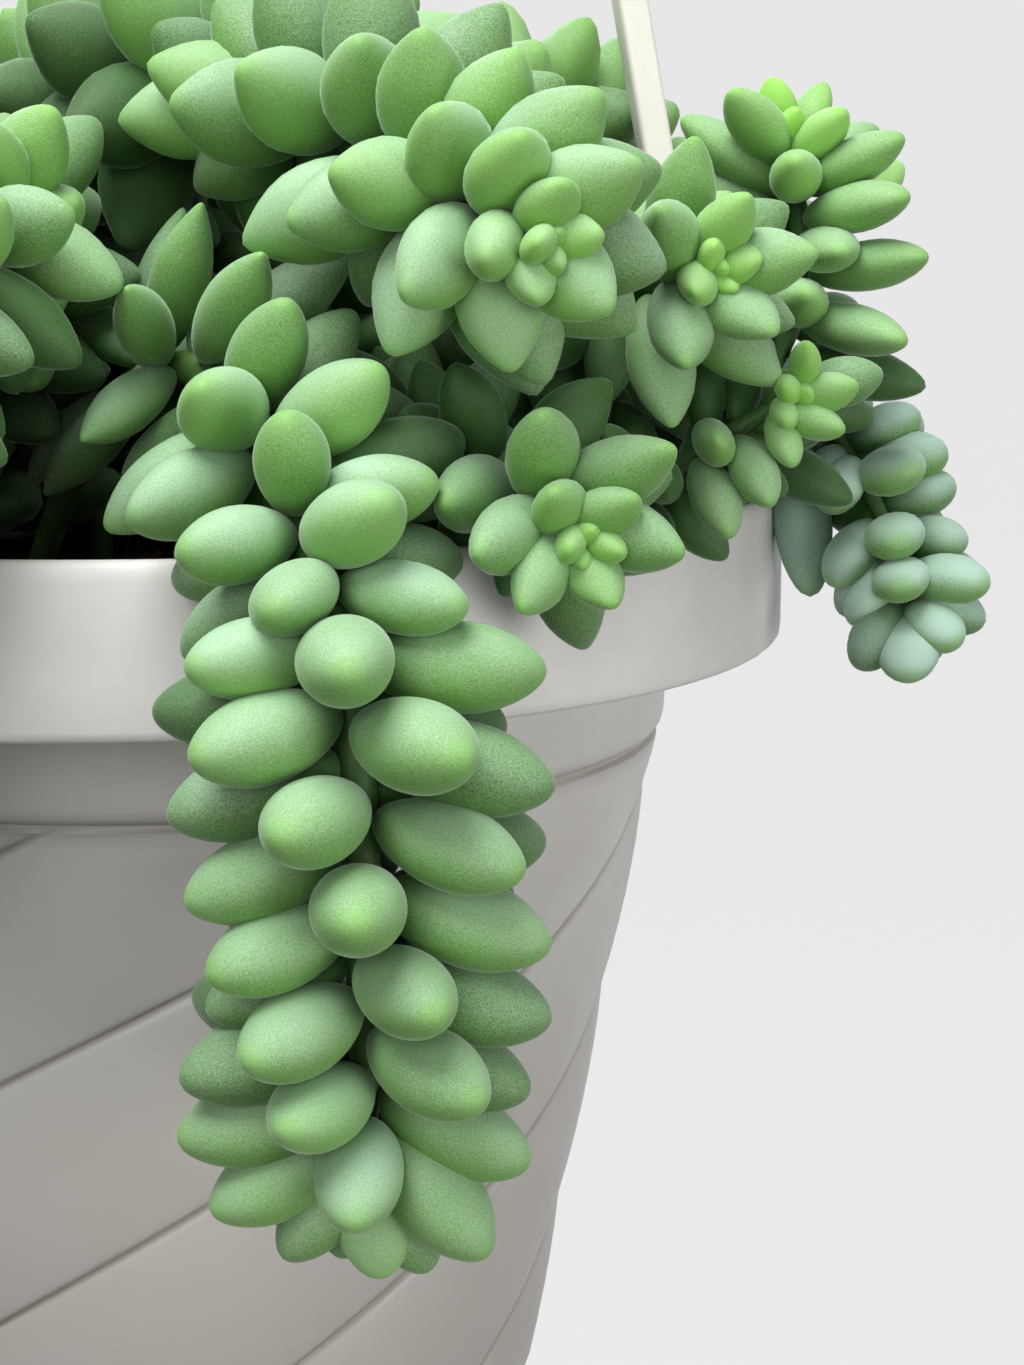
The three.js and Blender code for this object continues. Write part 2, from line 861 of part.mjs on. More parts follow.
const pot = makePot();
const soil = makeSoil(STEMS);
const strands = STRAND_ANGLES.map(makeStrand);
const hook = makeHook();
addPiece("pot", pot, COLOURS.pot);
addPiece("soil", soil, COLOURS.soil);
strands.forEach((s, k) => addPiece("hanger_strand_" + (k + 1), s, COLOURS.hanger));
addPiece("hanger_hook", hook, COLOURS.hanger);

const fixed = [pot, soil, ...strands].map((solid) => ({ solid, box: boxOf(solid) }));
STEMS.forEach((stem, k) => {
  stem.seed = k + 1;
  stem.line = route(stem.points);
  planStem(stem);
});
for (const stem of STEMS) {
  const others = STEMS.filter((s) => s !== stem).flatMap((s) => s.pieces);
  addPiece(stem.name, makeStem(stem, fixed.concat(others)), COLOURS.stem);
}

export default potted_burros_tail;
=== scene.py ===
"""Potted burros tail in a hanging pot: the looks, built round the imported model.

Lengths are given in millimetres and turned to metres where a mesh is made. The origin is at the
middle of the pot's underside, +Z is up, and the front of the plant faces -Y.
"""

import sys
import logging
import math
from collections.abc import Callable, Iterable, Sequence
from dataclasses import dataclass, field
from enum import Enum
from itertools import product

import bmesh
import bpy
import numpy as np
from mathutils import Euler, Matrix, Vector, noise


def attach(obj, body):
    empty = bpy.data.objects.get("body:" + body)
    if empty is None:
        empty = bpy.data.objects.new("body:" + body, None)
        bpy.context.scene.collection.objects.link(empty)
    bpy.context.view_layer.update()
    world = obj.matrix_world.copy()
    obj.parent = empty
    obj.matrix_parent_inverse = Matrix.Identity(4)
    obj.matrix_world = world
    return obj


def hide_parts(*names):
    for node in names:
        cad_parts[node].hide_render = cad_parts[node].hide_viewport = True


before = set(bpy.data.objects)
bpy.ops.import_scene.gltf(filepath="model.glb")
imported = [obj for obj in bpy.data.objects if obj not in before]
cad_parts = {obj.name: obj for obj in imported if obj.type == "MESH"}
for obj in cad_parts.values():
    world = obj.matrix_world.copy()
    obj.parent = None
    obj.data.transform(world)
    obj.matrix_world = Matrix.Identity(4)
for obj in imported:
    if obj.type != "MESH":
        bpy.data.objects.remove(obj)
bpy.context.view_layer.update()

LOG = logging.getLogger("burros_tail")
MM = 0.001
BODY = "root"
GOLDEN_ANGLE = math.radians(137.508)
PLASTIC_CREASE = 40.0  # the turn in degrees from which moulded plastic keeps an edge
SOIL_CREASE = 50.0  # and potting mix

# Pot
POT_HEIGHT = 150.0
RIM_RADIUS = 100.0
RIM_FOOT_Z = 126.0
RIM_INNER_RADIUS = 97.5
BASE_RADIUS = 59.0
BODY_RADIUS = 83.3
WALL = 2.6
FLOOR = 3.2
LEDGE = 2.5
BANDS = 7
RING_GROOVE_Z = 110.5
SWIRL_START = 9.0
SWIRL_TURN = 1.58
SWIRL_EASE = 0.0015
DRAIN_HOLES = 6
DRAIN_RADIUS = 4.0
DRAIN_CIRCLE = 38.0

# Soil
GAP = 0.3
SOIL_EDGE_Z = 133.5
SOIL_TOP_Z = 137.0
SOIL_FLAT_RADIUS = 64.0

# Hanger
STRAND_ANGLES = (10.0, 130.0, 250.0)
STRAND_WIDTH = 6.4
STRAND_THICKNESS = 5.0
STRAND_FOOT_RADIUS = 93.4
STRAND_FOOT_Z = 136.5
STRAND_TOP_RADIUS = 6.4
PEG_Z = 141.0
PEG_RADIUS = 2.2
PEG_HOLE_RADIUS = 2.6
PEG_HEAD_RADIUS = 4.2
HUB_Z = 604.0
HUB_RADIUS = 11.0
HUB_HEIGHT = 18.0
HUB_FOOT_Z = HUB_Z - 9.0
HOOK_ROD = 3.2
HOOK_BEND = 17.0

# Stems
STEM_FOOT_Z = 112.0
STEM_RISE_Z = 141.0
CORE_STEP = 4  # how far apart the core's rings are along the stem, in millimetres
STEM_ROOT_RADIUS = 2.2
STEM_LEAFY_RADIUS = 2.7
LEAF_KEYS = ("root", "axis", "wide", "size", "rank", "fan", "freedom", "shade")
SEEN_FREEDOM = 0.15  # how readily a leaf that the photo shows gives way
FAN_STRETCH = 0.15  # how much longer the slim upright leaves are

# Camera
PHOTO_WIDTH = 1024.0
PHOTO_HEIGHT = 1365.0
CAMERA_PLACE = (56.5, -450.0, 198.0)
CAMERA_DOWN = 10.3
LENS = 73.4
SENSOR = 36.0

Piece = bpy.types.Object
Rows = np.ndarray
Triple = tuple[float, float, float]
Spot = tuple[float, float, float, float]  # how far up the stem, its tip's pixel, its size
Colour = tuple[float, float, float, float]


class Slot(Enum):
    """The material slots."""

    POT = "pot_plastic"
    HANGER = "hanger_plastic"
    SOIL = "soil"
    LEAF = "leaf"


class Side(Enum):
    """Which way a cutter changes a piece."""

    TAKE_AWAY = "DIFFERENCE"
    JOIN = "UNION"


# Small tools


def polar(radius: float, degrees: float, z: float) -> Triple:
    """Returns the place at a radius and an angle round the pot's axis."""
    angle = math.radians(degrees)
    return (radius * math.cos(angle), radius * math.sin(angle), z)


def angle_round(place: Vector) -> float:
    """Returns the angle of a place round the pot's axis in degrees."""
    return math.degrees(math.atan2(place.y, place.x))


def body_radius(z: float | Rows) -> float | Rows:
    """Returns the radius of the pot's plain tapered body at a height."""
    return BASE_RADIUS + (BODY_RADIUS - BASE_RADIUS) * z / RIM_FOOT_Z


def soil_height(radius: float | Rows) -> float | Rows:
    """Returns the height of the soil's smooth top at a radius."""
    return np.interp(radius, (SOIL_FLAT_RADIUS, RIM_INNER_RADIUS), (SOIL_TOP_Z, SOIL_EDGE_Z))


def draw(seed: float, count: float) -> float:
    """Returns a fixed draw between 0 and 1 for a seed and a count."""
    x = math.sin(seed * 12.9898 + count * 78.233) * 43758.5453
    return x - math.floor(x)


def unit(rows: Rows) -> Rows:
    """Returns the same vectors, one in each row, with length 1."""
    return rows / np.maximum(np.linalg.norm(rows, axis=-1, keepdims=True), 1e-9)


def nearest_on(places: Rows, start: Sequence[float], end: Sequence[float]) -> Rows:
    """Finds the nearest place on a straight line for each of several places.

    Args:
        places: The places, one in each row.
        start: Where the line starts.
        end: Where it ends.

    Returns:
        The nearest places on the line, one in each row.
    """
    p, q = np.array(start), np.array(end)
    share = np.clip((places - p) @ (q - p) / np.sum((q - p) ** 2), 0, 1)
    return p + share[:, None] * (q - p)


def sight(x: float, y: float) -> Rows:
    """Finds the direction in which the camera sees a place of the photo.

    Args:
        x: The place's pixel from the left.
        y: The place's pixel from the top.

    Returns:
        The direction from the camera, with length 1.
    """
    focal = LENS / SENSOR * PHOTO_HEIGHT
    down = math.radians(CAMERA_DOWN)
    right = (x - PHOTO_WIDTH / 2) / focal
    up = (PHOTO_HEIGHT / 2 - y) / focal
    ahead = (math.cos(down), -math.sin(down))
    above = (math.sin(down), math.cos(down))
    return unit(np.array([right, ahead[0] + up * above[0], ahead[1] + up * above[1]]))


def linear(code: str) -> Colour:
    """Turns an sRGB hex colour to linear red, green, blue and alpha.

    Args:
        code: Six hex digits after a hash.

    Returns:
        The linear colour, opaque.
    """
    parts = [int(code[i : i + 2], 16) / 255 for i in (1, 3, 5)]
    red, green, blue = (c / 12.92 if c <= 0.04045 else ((c + 0.055) / 1.055) ** 2.4 for c in parts)
    return (red, green, blue, 1.0)


def deselect_all() -> None:
    """Leaves edit mode and deselects every object."""
    if bpy.context.object and bpy.context.object.mode != "OBJECT":
        bpy.ops.object.mode_set(mode="OBJECT")
    bpy.ops.object.select_all(action="DESELECT")


def new_object(name: str, data: bpy.types.ID) -> Piece:
    """Puts a new object with the given data into the scene."""
    piece = bpy.data.objects.new(name, data)
    bpy.context.scene.collection.objects.link(piece)
    return piece


def dress(piece: Piece, material: bpy.types.Material) -> None:
    """Gives a piece one material in place of any that it has."""
    piece.data.materials.clear()
    piece.data.materials.append(material)


def make_active(piece: Piece) -> None:
    """Selects one object alone and makes it active."""
    deselect_all()
    piece.select_set(True)
    bpy.context.view_layer.objects.active = piece


def pick(piece: Piece, wanted: Callable[[Vector], bool]) -> None:
    """Selects the vertices of a piece in edit mode by their place.

    Args:
        piece: The object that is in edit mode.
        wanted: Says of a place whether its vertex is selected.
    """
    mesh = bmesh.from_edit_mesh(piece.data)
    for vertex in mesh.verts:
        vertex.select_set(wanted(vertex.co))
    mesh.select_flush(True)
    mesh.select_flush(False)
    bmesh.update_edit_mesh(piece.data)


def move_vertices(piece: Piece, shift: Callable[[Vector], Vector]) -> None:
    """Moves each vertex of a piece to the place that a rule gives it.

    Args:
        piece: The mesh object.
        shift: Gives a vertex's new place from its old one, both in metres.
    """
    deselect_all()
    for vertex in piece.data.vertices:
        vertex.co = shift(vertex.co)
    piece.data.update()


def apply_modifier(piece: Piece, kind: str, **settings: object) -> None:
    """Adds a modifier to a piece and applies it.

    Args:
        piece: The object to change.
        kind: Blender's name of the modifier.
        settings: The modifier's properties.
    """
    make_active(piece)
    modifier = piece.modifiers.new(kind.lower(), kind)
    for key, value in settings.items():
        setattr(modifier, key, value)
    bpy.ops.object.modifier_apply(modifier=modifier.name)


def cut(piece: Piece, tool: Piece, side: Side) -> None:
    """Cuts a closed tool out of a piece or joins it to the piece, and uses the tool up."""
    apply_modifier(piece, "BOOLEAN", object=tool, operation=side.value, solver="EXACT")
    bpy.data.objects.remove(tool)


def join(pieces: Sequence[Piece], name: str) -> Piece:
    """Joins several objects into the first of them.

    Args:
        pieces: The objects, each with its own mesh.
        name: The name of the result.

    Returns:
        The one object that is left.
    """
    deselect_all()
    for piece in pieces:
        piece.select_set(True)
    bpy.context.view_layer.objects.active = pieces[0]
    bpy.ops.object.join()
    pieces[0].name = name
    pieces[0].data.name = name
    return pieces[0]


def settle_origin(piece: Piece) -> None:
    """Puts an object's place, turn and scale into its mesh."""
    make_active(piece)
    bpy.ops.object.transform_apply(location=True, rotation=True, scale=True)


def smooth(piece: Piece, degrees: float) -> None:
    """Shades a piece smooth, with a sharp edge wherever it turns by more than an angle."""
    make_active(piece)
    bpy.ops.object.shade_smooth_by_angle(angle=math.radians(degrees))


def drawn_up(name: str, sides: int, rings: Sequence[tuple[float, float]]) -> Piece:
    """Extrudes a circle from ring to ring round the pot's axis, and closes both ends.

    Args:
        name: The name of the new object.
        sides: How many sides the circle has.
        rings: The radius and height of each ring, in millimetres.

    Returns:
        The closed object.
    """
    radius, z = rings[0]
    deselect_all()
    bpy.ops.mesh.primitive_circle_add(
        vertices=sides, radius=radius * MM, location=(0, 0, z * MM), fill_type="NGON"
    )
    piece = bpy.context.object
    piece.name = name
    settle_origin(piece)
    bpy.ops.object.mode_set(mode="EDIT")
    bpy.ops.mesh.select_all(action="SELECT")
    for (was_radius, was_z), (radius, z) in zip(rings, rings[1:], strict=False):
        bpy.ops.mesh.extrude_region_move(TRANSFORM_OT_translate={"value": (0, 0, (z - was_z) * MM)})
        share = radius / was_radius
        bpy.ops.transform.resize(value=(share, share, 1), center_override=(0, 0, z * MM))
    bpy.ops.mesh.select_all(action="SELECT")
    bpy.ops.mesh.normals_make_consistent(inside=False)
    bpy.ops.object.mode_set(mode="OBJECT")
    return piece


def rod(name: str, points: Sequence[Triple], radii: Sequence[float], sides: int) -> Piece:
    """Makes a closed rod with a round section along a line of points.

    Args:
        name: The name of the new object.
        points: Places along the middle of the rod, in millimetres.
        radii: The rod's radius at each of them.
        sides: How many sides its section has, a multiple of four.

    Returns:
        The rod as a mesh object.
    """
    line = bpy.data.curves.new(name, "CURVE")
    line.dimensions = "3D"
    line.bevel_depth = MM
    line.bevel_resolution = sides // 4 - 1 if sides > 4 else 0
    line.use_fill_caps = True
    spline = line.splines.new("POLY")
    spline.points.add(len(points) - 1)
    for point, place, radius in zip(spline.points, points, radii, strict=True):
        point.co = (*(c * MM for c in place), 1)
        point.radius = radius
    make_active(new_object(name, line))
    bpy.ops.object.convert(target="MESH")
    piece = bpy.context.object
    bpy.ops.object.mode_set(mode="EDIT")
    bpy.ops.mesh.select_all(action="SELECT")
    bpy.ops.mesh.remove_doubles(threshold=1e-6)
    bpy.ops.mesh.normals_make_consistent(inside=False)
    bpy.ops.object.mode_set(mode="OBJECT")
    return piece


def declare(piece: Piece, slot: Slot, *nodes: str) -> None:
    """Puts a piece on its body, hides the CAD nodes that it stands for and logs its faces.

    Args:
        piece: The finished piece.
        slot: Not used.
        nodes: The CAD nodes that the piece replaces, if any.
    """
    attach(piece, BODY)
    if nodes:
        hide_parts(*nodes)
    LOG.info("%s: %d faces", piece.name, len(piece.data.polygons))


# Finishes


def add_node(
    tree: bpy.types.NodeTree,
    kind: str,
    values: dict[int | str, object] | None = None,
    links: dict[int | str, bpy.types.Node | bpy.types.NodeSocket] | None = None,
    **settings: object,
) -> bpy.types.Node:
    """Adds one node with its settings, input values and links.

    Args:
        tree: The node tree.
        kind: The node's type, without the "ShaderNode" that they all start with.
        values: Input values by socket name or number.
        links: What to link in, by socket name or number. A node stands for its first output.
        settings: The node's own properties.

    Returns:
        The new node.
    """
    node = tree.nodes.new(f"ShaderNode{kind}")
    for key, value in settings.items():
        setattr(node, key, value)
    for key, value in (values or {}).items():
        node.inputs[key].default_value = value
    for key, source in (links or {}).items():
        socket = source.outputs[0] if isinstance(source, bpy.types.Node) else source
        tree.links.new(socket, node.inputs[key])
    return node


def blank_material(name: str) -> tuple[bpy.types.Material, bpy.types.NodeTree]:
    """Makes a material with an empty node tree.

    Args:
        name: The material's name.

    Returns:
        The material and its tree.
    """
    material = bpy.data.materials.new(name)
    material.use_nodes = True
    material.node_tree.nodes.clear()
    return material, material.node_tree


def close_surface(
    tree: bpy.types.NodeTree,
    relief: tuple[bpy.types.NodeSocket, float, float],
    values: dict[int | str, object],
    links: dict[int | str, bpy.types.NodeSocket] | None = None,
) -> None:
    """Ends a material with its fine relief, its surface shader and the output.

    Args:
        tree: The material's node tree.
        relief: The relief's height, how strongly it shows, and how deep it is in millimetres.
        values: The shader's values by socket name.
        links: What is linked into the shader by socket name.
    """
    height, strength, depth = relief
    set_to = {"Strength": strength, "Distance": depth * MM}
    bump = add_node(tree, "Bump", set_to, {"Height": height})
    linked = {**(links or {}), "Normal": bump}
    shader = add_node(tree, "BsdfPrincipled", values, linked)
    add_node(tree, "OutputMaterial", links={"Surface": shader})


@dataclass(frozen=True)
class LeafSkin:
    """Waxy succulent leaf under a powdery bloom.

    The wax scatters light softly inside the plump leaf, and the bloom is a pale grey-green dust
    with a fine grain, thick on old leaves and rubbed thin in patches and at the tips. The bloom is
    thicker on top with a painted highlight there and painted shade below, and the leaves that lie
    under others carry painted shade: less bloom, and a darker, deeper green.
    """

    name: str = "succulent_leaf_with_bloom"
    old_skin: str = "#47752b"
    fresh_skin: str = "#72a745"
    young_skin: str = "#aaea5a"
    grey_bloom: str = "#b2cca8"
    blue_bloom: str = "#a9c6b5"
    # darker green at a leaf's base, and painted shade on leaves that lie under others
    root_and_shade_green: str = "#2f5a1d"
    # painted shade on leaves that lie under others
    painted_shade_green: str = "#1c3812"
    tip_green: str = "#7cb350"
    down: str = "#e9f3ea"
    grain_mm: float = 0.18  # real wax grains are finer: it is as coarse as it takes to show
    patch_mm: float = 14.0
    roughness: float = 0.6
    scatter_mm: float = 1.8

    def material(self) -> bpy.types.Material:
        """Returns the leaf material, which reads the mesh's own leaf attribute."""
        made, tree = blank_material(self.name)
        place = add_node(tree, "TexCoord").outputs["Object"]
        leaf = add_node(tree, "Attribute", attribute_name="leaf")
        parts = add_node(tree, "SeparateColor", links={0: leaf.outputs["Color"]})
        # these channels also carry painted shade on leaves that lie under others
        along, tone, youth = parts.outputs
        grain = add_node(
            tree, "TexNoise", {"Scale": 1 / (self.grain_mm * MM), "Detail": 2.0, "Roughness": 0.6},
            {"Vector": place},
        )
        patch = add_node(
            tree, "TexNoise", {"Scale": 1 / (self.patch_mm * MM), "Detail": 2.0}, {"Vector": place}
        )
        thick = add_node(tree, "MapRange", {1: 0.3, 2: 0.7, 3: 0.55, 4: 0.9}, {0: patch.outputs["Fac"]})
        dust_and_shading = add_node(tree, "Math", links={0: thick, 1: leaf.outputs["Alpha"]}, operation="MULTIPLY")
        speckle = add_node(
            tree, "MapRange", {1: 0.36, 2: 0.66, 3: -0.2, 4: 0.27}, {0: grain.outputs["Fac"]}
        )
        amount = add_node(tree, "Math", links={0: dust_and_shading, 1: speckle}, operation="ADD", use_clamp=True)
        skin = add_node(
            tree, "Mix", {6: linear(self.old_skin), 7: linear(self.fresh_skin)}, {0: tone},
            data_type="RGBA",
        )
        young = add_node(
            tree, "Mix", {7: linear(self.young_skin)}, {0: youth, 6: skin.outputs[2]}, data_type="RGBA"
        )
        bloom = add_node(
            tree, "Mix", {6: linear(self.grey_bloom), 7: linear(self.blue_bloom)},
            {0: leaf.outputs["Alpha"]}, data_type="RGBA",
        )
        powdered = add_node(
            tree, "Mix", links={0: amount, 6: young.outputs[2], 7: bloom.outputs[2]}, data_type="RGBA"
        )
        colour = powdered.outputs[2]
        # painted shade: deep green on leaves under others, whose tone is below 0; a green tip; root green
        # at the base, spread as painted shade over leaves under others
        for green, source, span in (
            (self.painted_shade_green, tone, (0.0, -1.0, 0.0, 0.55)),
            (self.tip_green, along, (0.94, 1.0, 0.0, 0.36)),
            (self.root_and_shade_green, along, (0.4, 0.0, 0.0, 0.85)),
        ):
            share = add_node(tree, "MapRange", dict(enumerate(span, 1)), {0: source})
            mixed = add_node(tree, "Mix", {7: linear(green)}, {0: share, 6: colour}, data_type="RGBA")
            colour = mixed.outputs[2]
        wax = {
            "Roughness": self.roughness, "IOR": 1.45, "Specular IOR Level": 0.35,
            "Subsurface Weight": 0.15, "Subsurface Radius": (0.6, 1.0, 0.35),
            "Subsurface Scale": self.scatter_mm * MM, "Sheen Weight": 0.4, "Sheen Roughness": 0.3,
            "Sheen Tint": linear(self.down),
        }
        close_surface(tree, (grain.outputs["Fac"], 0.12, 0.1), wax, {"Base Color": colour})
        return made


@dataclass(frozen=True)
class StemSkin:
    """Young succulent stem: smooth skin, pale where it is bare, with scars where leaves sat."""

    name: str = "succulent_stem"
    green: str = "#345a20"
    pale: str = "#74915a"
    scar: str = "#4c6130"
    scar_mm: float = 3.0

    def material(self) -> bpy.types.Material:
        """Returns the stem material."""
        made, tree = blank_material(self.name)
        place = add_node(tree, "TexCoord").outputs["Object"]
        spots = add_node(
            tree, "TexNoise", {"Scale": 1 / (self.scar_mm * MM), "Detail": 3.0}, {"Vector": place}
        )
        amount = add_node(tree, "MapRange", {1: 0.5, 2: 0.68, 3: 0.0, 4: 0.8}, {0: spots.outputs["Fac"]})
        leaf = add_node(tree, "Attribute", attribute_name="leaf")
        bare = add_node(tree, "SeparateColor", links={0: leaf.outputs["Color"]}).outputs[0]
        skin = add_node(
            tree, "Mix", {6: linear(self.green), 7: linear(self.pale)}, {0: bare}, data_type="RGBA"
        )
        colour = add_node(
            tree, "Mix", {7: linear(self.scar)}, {0: amount, 6: skin.outputs[2]}, data_type="RGBA"
        )
        skin_values = {"Roughness": 0.6, "IOR": 1.45}
        scars = (spots.outputs["Fac"], 0.4, 0.4)
        close_surface(tree, scars, skin_values, {"Base Color": colour.outputs[2]})
        return made


@dataclass(frozen=True)
class MouldedPlastic:
    """Injection-moulded polypropylene with a satin skin.

    It is cloudy rather than glassy, with a very fine moulded grain and faint flow clouding. Below
    the rim it is painted darker as painted shade, more towards its foot. Brown dirt with painted
    shade lies in its grooves, and grime with painted shadow lies on the rim under the leaves that
    hang over it.
    """

    name: str
    colour: str
    cloud: str
    # the colour of the painted shade below the rim
    painted_shade: str
    roughness: float
    painted_shade_top: float = 0.0  # how high up the painted shade reaches, in millimetres
    painted_shade_low: float = 0.0  # the share of painted shade at the foot
    painted_shade_high: float = 0.0  # and at the top of the painted part
    # the colour of the dirt with painted shade in the grooves and of the grime with painted shadow on the
    # rim
    dirt_and_shade: str = "#6f6557"
    most_dirt_and_shade: float = 0.5
    grain_mm: float = 0.5  # the real grain is finer: it is as coarse as it takes to show
    cloud_mm: float = 34.0

    def material(self) -> bpy.types.Material:
        """Returns the plastic material."""
        made, tree = blank_material(self.name)
        place = add_node(tree, "TexCoord").outputs["Object"]
        clouds = add_node(
            tree, "TexNoise", {"Scale": 1 / (self.cloud_mm * MM), "Detail": 4.0, "Roughness": 0.55},
            {"Vector": place},
        )
        flow = add_node(tree, "MapRange", {1: 0.35, 2: 0.7, 3: 0.0, 4: 1.0}, {0: clouds.outputs["Fac"]})
        base = add_node(
            tree, "Mix", {6: linear(self.colour), 7: linear(self.cloud)}, {0: flow}, data_type="RGBA"
        )
        height = add_node(tree, "SeparateXYZ", links={0: place}).outputs[2]
        # painted shade: darker below the rim, more towards the foot
        shade_ramp = add_node(
            tree, "MapRange", {1: 0.0, 2: self.painted_shade_top * MM, 3: self.painted_shade_low, 4: self.painted_shade_high},
            {0: height},
        )
        under = add_node(
            tree, "Math", {1: (self.painted_shade_top + 0.6) * MM}, {0: height}, operation="LESS_THAN"
        )
        dust_and_shading = add_node(tree, "Math", links={0: shade_ramp, 1: under}, operation="MULTIPLY")
        # dirt with painted shade in the grooves, and grime with painted shadow on the rim under the
        # hanging leaves
        dirt_and_shade = add_node(tree, "Attribute", attribute_name="dirt_and_shade")
        grime_and_shade = add_node(
            tree, "Math", {1: self.most_dirt_and_shade}, {0: dirt_and_shade.outputs["Fac"]}, operation="MULTIPLY"
        )
        colour = base.outputs[2]
        # mixes in the painted shade below the rim, then the dirt and painted shade
        for layer, share in ((self.painted_shade, dust_and_shading), (self.dirt_and_shade, grime_and_shade)):
            mixed = add_node(tree, "Mix", {7: linear(layer)}, {0: share, 6: colour}, data_type="RGBA")
            colour = mixed.outputs[2]
        grain = add_node(
            tree, "TexNoise", {"Scale": 1 / (self.grain_mm * MM), "Detail": 1.0}, {"Vector": place}
        )
        rough = add_node(
            tree, "MapRange", {1: 0.3, 2: 0.7, 3: self.roughness - 0.05, 4: self.roughness + 0.07},
            {0: clouds.outputs["Fac"]},
        )
        cloudy = {
            "IOR": 1.49, "Subsurface Weight": 0.12, "Subsurface Radius": (1.0, 0.95, 0.9),
            "Subsurface Scale": 1.2 * MM,
        }
        linked = {"Base Color": colour, "Roughness": rough}
        close_surface(tree, (grain.outputs["Fac"], 0.06, 0.05), cloudy, linked)
        return made


@dataclass(frozen=True)
class PottingMix:
    """Peat and bark potting mix: nearly black brown, matt, with paler fibres and crumbs."""

    name: str = "peat_potting_mix"
    peat: str = "#2a1f17"
    bark: str = "#5a4330"
    crumb_mm: float = 2.2

    def material(self) -> bpy.types.Material:
        """Returns the soil material."""
        made, tree = blank_material(self.name)
        place = add_node(tree, "TexCoord").outputs["Object"]
        crumbs = add_node(
            tree, "TexNoise", {"Scale": 1 / (self.crumb_mm * MM), "Detail": 6.0, "Roughness": 0.7},
            {"Vector": place},
        )
        amount = add_node(
            tree, "MapRange", {1: 0.45, 2: 0.72, 3: 0.0, 4: 1.0}, {0: crumbs.outputs["Fac"]}
        )
        colour = add_node(
            tree, "Mix", {6: linear(self.peat), 7: linear(self.bark)}, {0: amount}, data_type="RGBA"
        )
        matt = {"Roughness": 0.95, "IOR": 1.4, "Specular IOR Level": 0.2}
        close_surface(tree, (crumbs.outputs["Fac"], 0.9, 1.2), matt, {"Base Color": colour.outputs[2]})
        return made


@dataclass(frozen=True)
class Perlite:
    """Expanded volcanic glass: chalky off-white grains with a pitted matt surface."""

    name: str = "perlite_grain"
    chalk: str = "#d9d5cb"
    pit_mm: float = 0.7

    def material(self) -> bpy.types.Material:
        """Returns the perlite material."""
        made, tree = blank_material(self.name)
        place = add_node(tree, "TexCoord").outputs["Object"]
        pits = add_node(tree, "TexNoise", {"Scale": 1 / (self.pit_mm * MM)}, {"Vector": place})
        chalky = {"Base Color": linear(self.chalk), "Roughness": 0.9, "IOR": 1.5}
        close_surface(tree, (pits.outputs["Fac"], 0.6, 0.4), chalky)
        return made


@dataclass(frozen=True)
class PaperSweep:
    """Matt white paper of a studio sweep, lifted so that it stays evenly pale."""

    name: str = "paper_sweep"
    paper: str = "#343434"
    lift: float = 0.785

    def material(self) -> bpy.types.Material:
        """Returns the floor material."""
        made, tree = blank_material(self.name)
        shader = add_node(
            tree,
            "BsdfPrincipled",
            {
                "Base Color": linear(self.paper), "Roughness": 0.95, "Specular IOR Level": 0.1,
                "Emission Color": linear("#ffffff"), "Emission Strength": self.lift,
            },
        )
        add_node(tree, "OutputMaterial", links={"Surface": shader})
        return made


# Pot


